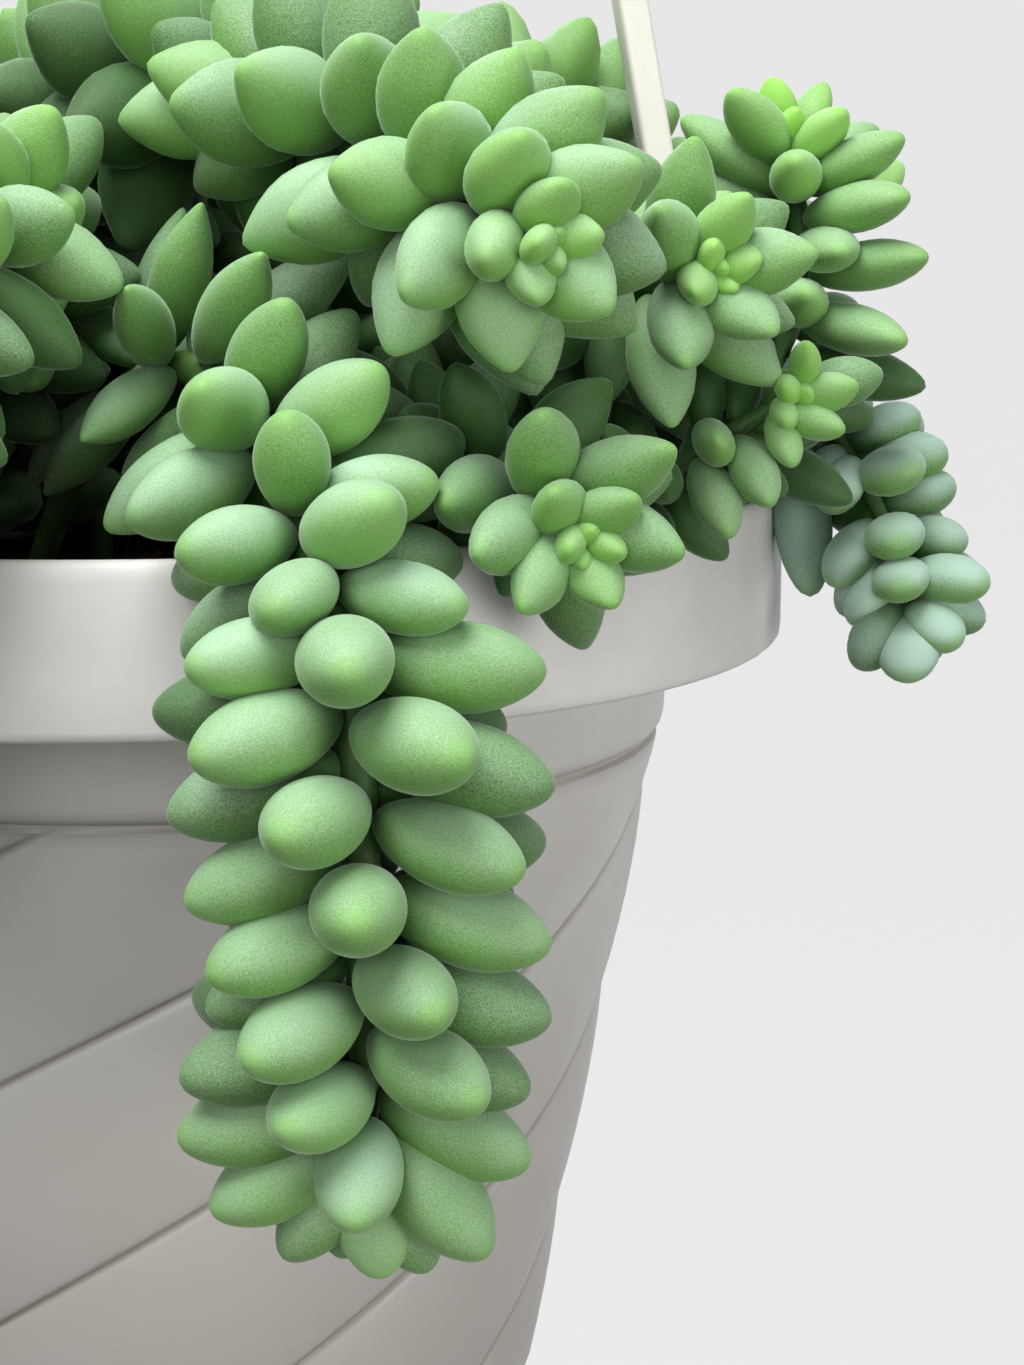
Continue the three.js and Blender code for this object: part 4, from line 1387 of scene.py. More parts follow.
@dataclass
class Walls:
    """What the leaves lie against: the pot, the soil, the strands and the other stems."""

    cores: Rows
    core_stem: Rows
    core_radius: float = STEM_LEAFY_RADIUS
    batch: int = 400  # how many balls are set against the stems at once
    outline: tuple[tuple[float, float], ...] = (
        (0.0, SOIL_TOP_Z),
        (SOIL_FLAT_RADIUS, SOIL_TOP_Z),
        (RIM_INNER_RADIUS, SOIL_EDGE_Z),
        (RIM_INNER_RADIUS, POT_HEIGHT),
        (RIM_RADIUS, POT_HEIGHT),
        (RIM_RADIUS, RIM_FOOT_Z),
        (BODY_RADIUS + 0.6, RIM_FOOT_Z),  # the swirl stands this far out of the tapered body
        (BASE_RADIUS + 0.6, 0.0),
        (0.0, 0.0),
    )

    def shove(self, middles: Rows, radii: Rows, stems: Rows) -> Rows:
        """Returns the shortest way out of the walls for the balls of each stem, or zero."""
        return self.from_pot(middles, radii) + self.from_lines(middles, radii, stems)

    def from_pot(self, middles: Rows, radii: Rows) -> Rows:
        """Finds the way out of the pot and its soil for each ball.

        Args:
            middles: The middle of each ball.
            radii: The radius of each ball.

        Returns:
            The shortest way out for each, or zero.
        """
        across = np.hypot(middles[:, 0], middles[:, 1])
        flat = np.stack([across, middles[:, 2]], axis=1)
        best = np.full(len(flat), 1e9)
        nearest = flat.copy()
        for start, end in zip(self.outline, self.outline[1:], strict=False):
            spot = nearest_on(flat, start, end)
            distance = np.linalg.norm(flat - spot, axis=1)
            nearer = distance < best
            best = np.where(nearer, distance, best)
            nearest[nearer] = spot[nearer]
        z = flat[:, 1]
        above_foot = z >= RIM_FOOT_Z
        in_rim = (across >= RIM_INNER_RADIUS) & (across < RIM_RADIUS)
        inside = (z > 0) & ~above_foot & (across < body_radius(z))
        inside |= above_foot & (across < RIM_INNER_RADIUS) & (z < soil_height(across))
        inside |= above_foot & (z < POT_HEIGHT) & in_rim
        signed = np.where(inside, -best, best)
        deep = np.maximum(0, radii - signed)
        out = np.where(inside[:, None], nearest - flat, flat - nearest)
        out = unit(out) * deep[:, None]
        radial = middles[:, :2] / np.maximum(across, 1e-6)[:, None]
        return np.concatenate([radial * out[:, :1], out[:, 1:]], axis=1)

    def from_lines(self, middles: Rows, radii: Rows, stems: Rows) -> Rows:
        """Finds the way out of the strands and of the other stems' cores for each ball.

        Args:
            middles: The middle of each ball.
            radii: The radius of each ball.
            stems: The stem that each ball belongs to.

        Returns:
            The way out for each, or zero.
        """
        total = np.zeros_like(middles)
        for angle in STRAND_ANGLES:
            foot = polar(STRAND_FOOT_RADIUS, angle, STRAND_FOOT_Z)
            top = polar(STRAND_TOP_RADIUS, angle, HUB_Z)
            apart = middles - nearest_on(middles, foot, top)
            distance = np.linalg.norm(apart, axis=1)
            deep = np.maximum(0, radii + STRAND_WIDTH / 2 - distance)
            total += apart / np.maximum(distance, 1e-6)[:, None] * deep[:, None]
        for start in range(0, len(middles), self.batch):
            part = slice(start, start + self.batch)
            apart = middles[part, None, :] - self.cores[None]
            distance = np.linalg.norm(apart, axis=2)
            distance[stems[part, None] == self.core_stem[None]] = 1e6
            nearest = np.argmin(distance, axis=1)
            rows = np.arange(len(nearest))
            gap = distance[rows, nearest]
            deep = np.maximum(0, radii[part] + self.core_radius - gap)
            total[part] += apart[rows, nearest] / gap[:, None] * deep[:, None]
        return total


@dataclass
class Stem:
    """One stem: its line, its core and the leaves that grow on it."""

    plan: StemPlan
    seed: int
    leafy_from: float = 8.0  # how far from the soil the core starts to swell
    leafy_over: float = 24.0  # over how much more it does so
    taper_reach: float = 16.0  # how far from the tip it tapers
    tip_share: float = 0.3  # how thick its tip is, as a share of its full radius
    fan_over: float = 30.0  # over how much of the stem the fan passes to common leaves
    root_share: float = 0.6  # how far out in the core the leaves are rooted
    full_ranks: float = 8.5  # how soon the seen leaves lose their fresh green, by their size
    away_shade: float = 0.4  # how far a leaf lies in shade that points away from the camera
    turned_away: float = 0.2  # how far behind the stem a leaf points that the photo can't show
    first_at: float = 0.3  # how far from the tip the first leaf is rooted
    angle_spread: float = 0.25  # how much the angle round the stem varies, in radians
    bud_angle: float = 12.0  # how far the first leaf leans out from the stem, in degrees
    open_angle: float = 70.0  # how much more an old one does
    fan_angle: float = 8.0  # and one in the fan near the soil
    lean_spread: float = 10.0  # how much the lean varies
    lift_ranks: float = 9.0  # how soon the leaves turn up to the light
    fan_lift: float = 1.2  # how much more they do in the fan
    size_spread: float = 0.16  # how much the size varies
    fan_spacing: float = 0.35  # how much further apart the leaves stand in the fan
    tight: float = 0.35  # how close the first leaves stand, as a share of the full spacing
    tight_ranks: float = 8.0  # how soon they stand at the full spacing
    line: Rows = field(init=False)

    def __post_init__(self) -> None:
        """Lays out the stem's middle line, a point to the millimetre."""
        self.line = self.route()

    def route(self) -> Rows:
        """Returns a smooth line through the plan's points that starts upright out of the soil."""
        start, *rest = self.plan.points
        p = [np.array(q, float) for q in (start, (start[0], start[1], STEM_RISE_Z), *rest)]
        p = [2 * p[0] - p[1], *p, 2 * p[-1] - p[-2]]
        dense = []
        for a, b, c, d in zip(p, p[1:], p[2:], p[3:], strict=False):
            for t in np.arange(40) / 40:
                dense.append(
                    0.5 * a * (-t + 2 * t * t - t**3)
                    + 0.5 * b * (2 - 5 * t * t + 3 * t**3)
                    + 0.5 * c * (t + 4 * t * t - 3 * t**3)
                    + 0.5 * d * (-t * t + t**3)
                )
        dense.append(p[-2])
        dense = np.array(dense)
        walked = np.concatenate([[0], np.cumsum(np.linalg.norm(np.diff(dense, axis=0), axis=1))])
        steps = np.arange(0, int(walked[-1]) + 1)
        return np.stack([np.interp(steps, walked, dense[:, k]) for k in range(3)], axis=1)

    def directions(self) -> tuple[Rows, Rows, Rows]:
        """Returns the directions along the line, to its side and across, at each point."""
        along = unit(np.gradient(self.line, axis=0))
        side = -np.cross([0.3, 0.1, 1.0], along[0])
        if np.linalg.norm(side) < 1e-3:
            side = np.array([1.0, 0, 0])
        sides = []
        for direction in along:
            side = unit(side - direction * np.dot(side, direction))
            sides.append(side)
        sides = np.array(sides)
        return along, sides, np.cross(along, sides)

    def core_radius(self, from_tip: float, length: float) -> float:
        """Returns the core's radius at a distance from the tip."""
        spread = min(1.0, max(0.0, (length - from_tip - self.leafy_from) / self.leafy_over))
        leafy = STEM_LEAFY_RADIUS * self.plan.scale
        body = STEM_ROOT_RADIUS + (leafy - STEM_ROOT_RADIUS) * spread
        from_end = min(1.0, from_tip / (self.taper_reach * self.plan.scale))
        return body * (self.tip_share + (1 - self.tip_share) * from_end)

    def fan_share(self, at: float) -> float:
        """Returns how much the leaves at a distance from the soil are long, slim and upright."""
        return min(1.0, max(0.0, (self.plan.fan - at) / self.fan_over))

    def seen_leaf(self, leaf: SeenLeaf, along: Rows, length: float) -> dict[str, object]:
        """Lays out one leaf that the photo shows.

        Args:
            leaf: Where it is rooted and where its tip is seen.
            along: The stem's direction where it is rooted.
            length: The pattern leaf's length.

        Returns:
            The leaf's row, by key.
        """
        fan = self.fan_share(leaf.at)
        base = self.line[int(leaf.at)]
        camera = np.array(CAMERA_PLACE)
        ray = sight(leaf.x, leaf.y)
        beside = camera + ray * np.dot(base - camera, ray)
        full = length * (1 + FAN_STRETCH * fan)
        grown = min(0.96, leaf.size / self.plan.scale)
        slack = math.sqrt(max(0.0, (leaf.size * full) ** 2 - np.sum((beside - base) ** 2)))
        tip = beside + ray * (slack if leaf.away else -slack)
        out = tip - base - along * np.dot(tip - base, along)
        end = len(self.line) - 1
        root = base + unit(out) * self.root_share * self.core_radius(end - leaf.at, end)
        return {
            "root": root, "axis": unit(tip - root), "wide": unit(np.cross(along, tip - root)),
            "size": float(np.linalg.norm(tip - root)) / full,
            "rank": int(-self.full_ranks * math.log(1 - grown)), "fan": fan, "freedom": SEEN_FREEDOM,
            "shade": self.away_shade if leaf.away else 0.0,
        }

    def leaves(self, length_of_leaf: float) -> dict[str, Rows]:
        """Grows the leaves from the tip back, each a golden angle on from the last.

        Where the photo shows the stem's near side, these fill only its far side.

        Args:
            length_of_leaf: The pattern leaf's length.

        Returns:
            A row for each leaf, by key.
        """
        plan = self.plan
        length = len(self.line) - 1
        along, side, across = self.directions()
        shown_from = min((leaf.at for leaf in plan.seen), default=length + 1) - 2
        shown_to = max((leaf.at for leaf in plan.seen), default=0) + 6
        rows = [self.seen_leaf(leaf, along[int(leaf.at)], length_of_leaf) for leaf in plan.seen]
        walked = self.first_at
        rank = 0
        while walked < length - plan.bare:
            at = int(round(length - walked))
            angle = math.radians(plan.phase) + plan.spin * GOLDEN_ANGLE * rank
            angle += (draw(self.seed, rank) - 0.5) * self.angle_spread
            out = math.cos(angle) * side[at] + math.sin(angle) * across[at]
            fan = self.fan_share(at)
            axis = self.lean(rank, fan, along[at], out)
            away = np.dot(axis, unit(self.line[at] - np.array(CAMERA_PLACE)))
            shown = shown_from < at < shown_to
            if not shown or away > self.turned_away:
                grown = 1 - math.exp(-(rank + 0.8) / plan.grow_ranks)
                varied = 1 - self.size_spread / 2 + self.size_spread * draw(self.seed, rank + 900)
                depth = self.root_share * self.core_radius(walked, length)
                row = {
                    "root": self.line[at] + out * depth, "axis": axis,
                    "wide": unit(np.cross(along[at], out)), "size": plan.scale * grown * varied,
                    "rank": rank, "fan": fan, "freedom": 1.0 if shown else plan.freedom, "shade": 0.0,
                }
                rows.append(row)
            step = plan.spacing * plan.scale * (1 + self.fan_spacing * fan)
            walked += step * (self.tight + (1 - self.tight) * (1 - math.exp(-rank / self.tight_ranks)))
            rank += 1
        return {key: np.array([row[key] for row in rows]) for key in LEAF_KEYS}

    def lean(self, rank: int, fan: float, along: Rows, out: Rows) -> Rows:
        """Finds the direction in which one leaf grows.

        Args:
            rank: Its place in the order from the tip.
            fan: How much it belongs to the fan near the soil.
            along: The stem's direction where it is rooted.
            out: The direction out of the stem there.

        Returns:
            The direction, with length 1.
        """
        opened = 1 - math.exp(-rank / self.plan.open_ranks)
        angle = self.bud_angle + (self.open_angle + self.fan_angle * fan) * opened
        angle = math.radians(angle + (draw(self.seed, rank + 500) - 0.5) * self.lean_spread)
        level = 1 - abs(along[2])
        lift = (self.plan.lift + self.fan_lift * fan) * level * (1 - math.exp(-rank / self.lift_ranks))
        return unit(math.cos(angle) * along + math.sin(angle) * out + np.array([0, 0, lift]))

    def core(self) -> Piece:
        """Models the stem's core as a tapering rod."""
        length = len(self.line) - 1
        picked = sorted({*range(0, length, CORE_STEP), length})
        points = [tuple(self.line[i]) for i in picked]
        radii = [self.core_radius(length - i, length) for i in picked]
        points.insert(0, (points[0][0], points[0][1], STEM_FOOT_Z))
        radii.insert(0, radii[0])
        piece = rod(self.plan.name, points, radii, 8)
        attribute = piece.data.attributes.new("leaf", "FLOAT_COLOR", "POINT")
        ends = self.line[int(max(0, self.plan.bare - 4)) : int(self.plan.bare) + 16]
        for vertex, value in zip(piece.data.vertices, attribute.data, strict=True):
            apart = np.linalg.norm(ends - np.array(vertex.co) / MM, axis=1)
            value.color = (float(apart.min() < 1.5 * STEM_ROOT_RADIUS), 0.0, 0.0, 0.0)
        return piece


@dataclass
class Plant:
    """The whole plant: every stem with its leaves, fitted to each other and to the pot."""

    plans: Sequence[StemPlan]
    skin: LeafSkin
    bark: StemSkin
    pattern: LeafPattern = field(default_factory=LeafPattern)
    slim_spread: float = 0.12  # how much the leaves vary between wide and thick
    fan_slimming: float = 0.3  # how much slimmer the leaves in the fan are
    young_plumping: float = 0.15  # how much plumper the young leaves are
    large_slimming: float = 0.8  # how much of its extra length a large leaf lacks in width
    fan_point: float = 0.4  # how much more the leaves in the fan taper
    most_taper: float = 0.6
    bend_spread: float = 0.14  # how much the leaves' bend varies, as a share of their length
    straight: float = 0.35  # the draw that leaves a leaf straight
    young_ranks: float = 9.0  # how soon the fresh green fades, counted in leaves from the tip
    bloom_level: float = 0.56  # how much bloom lies on a leaf's flanks
    bloom_and_light_contrast: float = 0.5  # how much more bloom lies on top and less below, with a painted highlight on top and painted shade below
    stems: list[Stem] = field(init=False)

    def __post_init__(self) -> None:
        """Lays out the stems."""
        self.stems = [Stem(plan, number) for number, plan in enumerate(self.plans, 1)]

    def roots(self) -> list[Triple]:
        """Returns where the stems come out of the soil."""
        return [plan.points[0] for plan in self.plans]

    def walls(self) -> Walls:
        """Returns what the leaves have to stay clear of."""
        cores = [stem.line[::CORE_STEP] for stem in self.stems]
        owners = np.repeat(np.arange(len(cores)), [len(core) for core in cores])
        return Walls(np.concatenate(cores), owners)

    def grow(self) -> Foliage:
        """Grows the leaves of every stem and fits them together.

        Returns:
            The leaves that are kept.
        """
        grown = [stem.leaves(self.pattern.length) for stem in self.stems]
        rows = {key: np.concatenate([leaves[key] for leaves in grown]) for key in LEAF_KEYS}
        owners = np.repeat(np.arange(len(grown)), [len(leaves["rank"]) for leaves in grown])
        foliage = Foliage(stem=owners, pattern=self.pattern, **rows)
        walls = self.walls()
        foliage.settle(walls)
        kept = foliage.fit(walls)
        LOG.info("%d leaves grown, %d kept", len(kept), int(kept.sum()))
        foliage.keep(kept)
        foliage.cover()
        return foliage

    def leaf_shape(self, shape: Rows, foliage: Foliage, row: int) -> tuple[Rows, Rows]:
        """Slims, tapers and bends the pattern into one leaf and puts it in its place.

        Args:
            shape: The pattern's vertices in millimetres.
            foliage: The plant's leaves.
            row: Which of them this one is.

        Returns:
            The leaf's vertices in millimetres, and how much each faces up, from -1 to 1.
        """
        plan = self.stems[foliage.stem[row]].plan
        key = foliage.key(row)
        size, fan = foliage.size[row], foliage.fan[row]
        share = shape[:, 2] / self.pattern.length
        young = max(0.0, 1 - size / plan.scale)
        slim = 1 + self.slim_spread * (draw(11, key) - 0.5)
        plump = plan.plump * (1 - self.fan_slimming * fan) * (1 + self.young_plumping * young)
        plump *= min(1.0, plan.scale / size) ** self.large_slimming
        local = shape * np.array([slim * plump, (2 - slim) * plump, 1.0 + FAN_STRETCH * fan])
        taper = plan.point * (1 - 0.5 * young) + self.fan_point * fan
        taper = taper * np.maximum(0.0, (share - 0.5) / 0.5) ** 2
        local[:, :2] *= 1 - np.minimum(self.most_taper, taper)[:, None]
        axis, wide = foliage.axis[row], foliage.wide[row]
        turned = np.stack([wide, np.cross(axis, wide), axis])
        upward = np.clip(local[:, :2] @ turned[:2, 2] / (self.pattern.thickness / 2), -1, 1)
        bend = self.pattern.length * self.bend_spread * (draw(12, key) - self.straight)
        local[:, 1] += bend * share**2
        return foliage.root[row] + size * local @ turned, upward

    def leaf_colours(self, share: Rows, upward: Rows, foliage: Foliage, row: int) -> Rows:
        """Works out what the leaf material reads at each vertex of one leaf.

        Args:
            share: How far along the leaf each vertex lies.
            upward: How much it faces up, from -1 to 1.
            foliage: The plant's leaves.
            row: Which of them this one is.

        Returns:
            In each row the share along the leaf, its tone, its youth and its bloom. All four carry
            painted shade where the leaf lies under others, and the bloom a painted highlight on top and
            painted shade below.
        """
        plan = self.stems[foliage.stem[row]].plan
        key = foliage.key(row)
        covered = foliage.covered[row]
        youth = plan.glow * math.exp(-foliage.rank[row] / self.young_ranks)
        tone = plan.light + (1 - plan.light) * draw(13, key)
        # painted shade on leaves that lie under others: less bloom and youth, more root green and deep
        # green
        bloom_and_shade = plan.bloom * (1 - 0.6 * youth) * (0.85 + 0.3 * draw(14, key)) * (1 - 0.4 * covered)
        colours = np.empty((len(share), 4), np.float32)
        colours[:, 0] = share * (1 - 0.8 * covered)
        colours[:, 1] = tone * (1 - covered) - covered
        colours[:, 2] = youth * (1 - covered)
        # bloom thicker on top and thinner below, with a painted highlight on top and painted shade below
        colours[:, 3] = bloom_and_shade * (self.bloom_level + self.bloom_and_light_contrast * np.tanh(2 * upward))
        return colours

    def copy_leaf(self, pattern: Piece, shape: Rows, foliage: Foliage, row: int) -> Piece:
        """Copies the pattern leaf to the place of one leaf of the plant.

        Args:
            pattern: The pattern leaf.
            shape: The pattern's vertices in millimetres.
            foliage: The plant's leaves.
            row: Which of them this one is.

        Returns:
            The new leaf with its own mesh.
        """
        places, upward = self.leaf_shape(shape, foliage, row)
        colours = self.leaf_colours(shape[:, 2] / self.pattern.length, upward, foliage, row)
        mesh = pattern.data.copy()
        mesh.vertices.foreach_set("co", (places * MM).astype(np.float32).ravel())
        mesh.attributes["leaf"].data.foreach_set("color", colours.ravel())
        return new_object("leaf", mesh)

    def build(self) -> None:
        """Builds and dresses every stem."""
        foliage = self.grow()
        pattern = self.pattern.build()
        shape = np.empty(len(pattern.data.vertices) * 3)
        pattern.data.vertices.foreach_get("co", shape)
        shape = shape.reshape(-1, 3)
        leaf_skin, stem_skin = self.skin.material(), self.bark.material()
        dress(pattern, leaf_skin)
        for number, stem in enumerate(self.stems):
            core = stem.core()
            dress(core, stem_skin)
            rows = np.nonzero(foliage.stem == number)[0]
            leaves = [self.copy_leaf(pattern, shape, foliage, row) for row in rows]
            piece = join([core, *leaves], f"{stem.plan.name}_stem")
            make_active(piece)
            bpy.ops.object.shade_smooth()
            if stem.plan.smoothing:
                rounder = piece.modifiers.new("rounder", "SUBSURF")
                rounder.levels = rounder.render_levels = stem.plan.smoothing
            declare(piece, Slot.LEAF, stem.plan.name)
        bpy.data.objects.remove(pattern)


def polar_line(*places: Triple) -> tuple[Triple, ...]:
    """Returns places given by radius, angle and height as plain places."""
    return tuple(polar(*place) for place in places)


def seen(near: Sequence[Spot], far: Sequence[Spot]) -> tuple[SeenLeaf, ...]:
    """Lists a stem's leaves that the photo shows: those that point to the camera, then the rest."""
    return tuple([SeenLeaf(*spot) for spot in near] + [SeenLeaf(*spot, away=True) for spot in far])


def front_trail_leaves() -> tuple[SeenLeaf, ...]:
    """Returns the leaves of the front trail from its tip back, with the fan at its root."""
    hanging = (
        (192, 385, 1280, 0.72), (190, 216, 1226, 0.88), (188, 502, 1247, 0.97), (188, 352, 1215, 0.9),
        (184, 526, 1178, 0.99), (184, 178, 1152, 1.0), (181, 283, 1138, 0.95), (175, 489, 1104, 0.99),
        (170, 241, 1057, 1.0), (165, 438, 1016, 0.96), (159, 200, 970, 0.98), (156, 550, 945, 1.03),
        (155, 354, 925, 1.0), (149, 182, 905, 1.0), (146, 531, 862, 1.0), (144, 279, 836, 1.0),
        (135, 466, 758, 1.06), (133, 182, 748, 1.06), (127, 545, 670, 1.05), (125, 348, 672, 1.0),
        (124, 191, 682, 0.95), (118, 465, 603, 0.87), (117, 268, 612, 0.84), (112, 388, 506, 0.95),
        (110, 178, 548, 0.87), (106, 443, 479, 0.87), (107, 287, 417, 0.8),
    )
    fan = (
        (95, 134, 523, 0.92), (96, 381, 373, 0.95), (91, 196, 382, 0.94), (86, 110, 531, 0.92),
        (86, 286, 300, 0.97), (73, 262, 251, 0.98), (68, 58, 437, 0.9), (64, 103, 286, 1.0),
        (60, 209, 204, 1.0),
    )
    behind = (
        (193, 425, 1277, 0.65), (193, 290, 1266, 0.62), (194, 336, 1260, 0.42), (176, 528, 1103, 0.96),
        (175, 177, 1083, 0.98), (167, 553, 1023, 1.03), (165, 203, 1008, 0.9), (139, 165, 805, 1.02),
        (137, 556, 792, 1.06), (115, 181, 640, 0.9), (113, 458, 572, 0.87), (110, 182, 590, 0.87),
        (88, 359, 319, 0.88), (78, 120, 500, 0.88), (68, 240, 255, 0.85), (58, 43, 478, 0.9),
        (54, 26, 491, 0.94), (58, 46, 301, 0.84), (54, 165, 203, 0.97),
    )
    return seen(hanging + fan, behind)


def arch_leaves() -> tuple[SeenLeaf, ...]:
    """Returns the leaves of the arching stem from its rosette back."""
    near = (
        (204, 543, 243, 0.36), (203, 558, 268, 0.3), (204, 565, 232, 0.24), (201, 604, 240, 0.46),
        (200, 577, 190, 0.55), (200, 540, 300, 0.5), (197, 486, 264, 0.62), (196, 627, 304, 0.79),
        (195, 648, 178, 0.87), (193, 510, 125, 0.81), (190, 520, 375, 0.9), (190, 403, 300, 0.87),
        (184, 388, 352, 0.99), (186, 430, 117, 0.87), (188, 614, 92, 0.99), (180, 516, 50, 0.95),
        (184, 328, 173, 0.95), (174, 432, 30, 0.99), (178, 288, 218, 0.99), (171, 247, 249, 1.03),
        (161, 356, 36, 0.99), (154, 243, 70, 1.03), (147, 167, 100, 1.08), (138, 150, 50, 0.95),
        (130, 118, 130, 0.9),
    )
    far = (
        (192, 668, 277, 0.97), (190, 666, 172, 0.9), (186, 553, 385, 0.94), (186, 624, 347, 0.9),
        (182, 545, 394, 0.99), (178, 366, 300, 0.97), (176, 563, 80, 0.85), (168, 500, 4, 0.99),
        (160, 366, -50, 0.99), (150, 268, -40, 0.99), (142, 204, 8, 0.95), (134, 176, 150, 0.85),
        (138, 196, 184, 0.85),
    )
    return seen(near, far)


def right_leaves() -> tuple[tuple[SeenLeaf, ...], tuple[SeenLeaf, ...]]:
    """Returns the leaves of the right-hand rosette and those of the upright stem behind it."""
    rosette = (
        (104, 729, 266, 0.24), (103, 722, 244, 0.36), (102, 767, 264, 0.44), (103, 740, 287, 0.3),
        (101, 705, 292, 0.5), (100, 747, 201, 0.68), (97, 810, 256, 0.86), (98, 776, 332, 0.76),
        (95, 702, 364, 0.86), (96, 675, 200, 0.86), (92, 698, 146, 0.95), (90, 792, 371, 0.95),
        (88, 680, 419, 0.98),
    )
    behind_rosette = ((96, 784, 214, 0.76), (92, 792, 336, 0.8), (82, 683, 442, 1.1))
    upright = (
        (90, 771, 81, 0.52), (88, 738, 82, 0.76), (90, 790, 108, 0.42), (88, 840, 110, 0.66),
        (84, 800, 166, 0.74), (84, 900, 146, 0.88), (80, 905, 200, 0.98), (76, 857, 256, 0.86),
        (72, 917, 255, 1.02), (66, 896, 335, 1.06), (66, 819, 300, 0.8), (84, 671, 131, 0.86),
    )
    behind_upright = (
        (89, 826, 88, 0.55), (86, 869, 119, 0.72), (80, 728, 184, 0.8), (80, 661, 166, 0.85),
    )
    return seen(rosette, behind_rosette), seen(upright, behind_upright)


def low_right_leaves() -> tuple[tuple[SeenLeaf, ...], tuple[SeenLeaf, ...]]:
    """Returns the leaves of the small side shoot and those of the drooping stem."""
    shoot = (
        (71, 812, 349, 0.4), (70, 808, 388, 0.28), (70, 791, 385, 0.34), (68, 791, 427, 0.36),
        (67, 790, 463, 0.46), (69, 853, 392, 0.48), (67, 839, 432, 0.5), (60, 774, 501, 0.62),
        (56, 722, 437, 0.56), (54, 739, 529, 0.7),
    )
    behind_shoot = ((70, 880, 372, 0.6), (50, 680, 494, 0.66))
    drooping = (
        (88, 910, 673, 0.54), (87, 957, 641, 0.5), (82, 989, 581, 0.62), (82, 900, 578, 0.52),
        (79, 842, 621, 0.55), (75, 899, 535, 0.54), (73, 827, 582, 0.58), (63, 820, 500, 0.54),
        (66, 910, 461, 0.6), (60, 815, 500, 0.5), (46, 747, 564, 1.0), (50, 778, 598, 1.0),
    )
    behind_drooping = (
        (89, 933, 648, 0.45), (85, 987, 614, 0.54), (85, 865, 662, 0.56), (76, 963, 530, 0.54),
        (78, 838, 614, 0.52), (71, 950, 485, 0.58), (60, 919, 419, 0.72), (54, 800, 528, 0.8),
    )
    return seen(shoot, behind_shoot), seen(drooping, behind_drooping)


def lip_leaves() -> tuple[SeenLeaf, ...]:
    """Returns the leaves of the rosette that rests on the rim."""
    near = (
        (99, 575, 554, 0.4), (100, 598, 532, 0.3), (99, 626, 545, 0.42), (99, 591, 567, 0.32),
        (97, 640, 513, 0.62), (96, 565, 502, 0.62), (96, 530, 602, 0.72), (96, 613, 604, 0.64),
        (92, 474, 562, 0.92), (90, 547, 409, 0.92), (93, 683, 543, 0.86), (90, 675, 455, 1.0),
        (80, 425, 500, 1.05),
    )
    far = (
        (86, 676, 479, 0.95), (90, 588, 638, 0.98), (88, 652, 566, 0.82), (82, 478, 428, 0.95),
        (82, 454, 545, 0.9),
    )
    return seen(near, far)


def left_leaves() -> tuple[SeenLeaf, ...]:
    """Returns the leaves at the photo's left edge."""
    near = (
        (78, 52, 116, 0.88), (80, 8, 126, 0.84), (70, 68, 212, 0.92), (64, 51, 298, 0.98),
        (56, 43, 392, 0.98),
    )
    return seen(near, ((74, 90, 125, 0.95), (68, 99, 200, 1.0)))


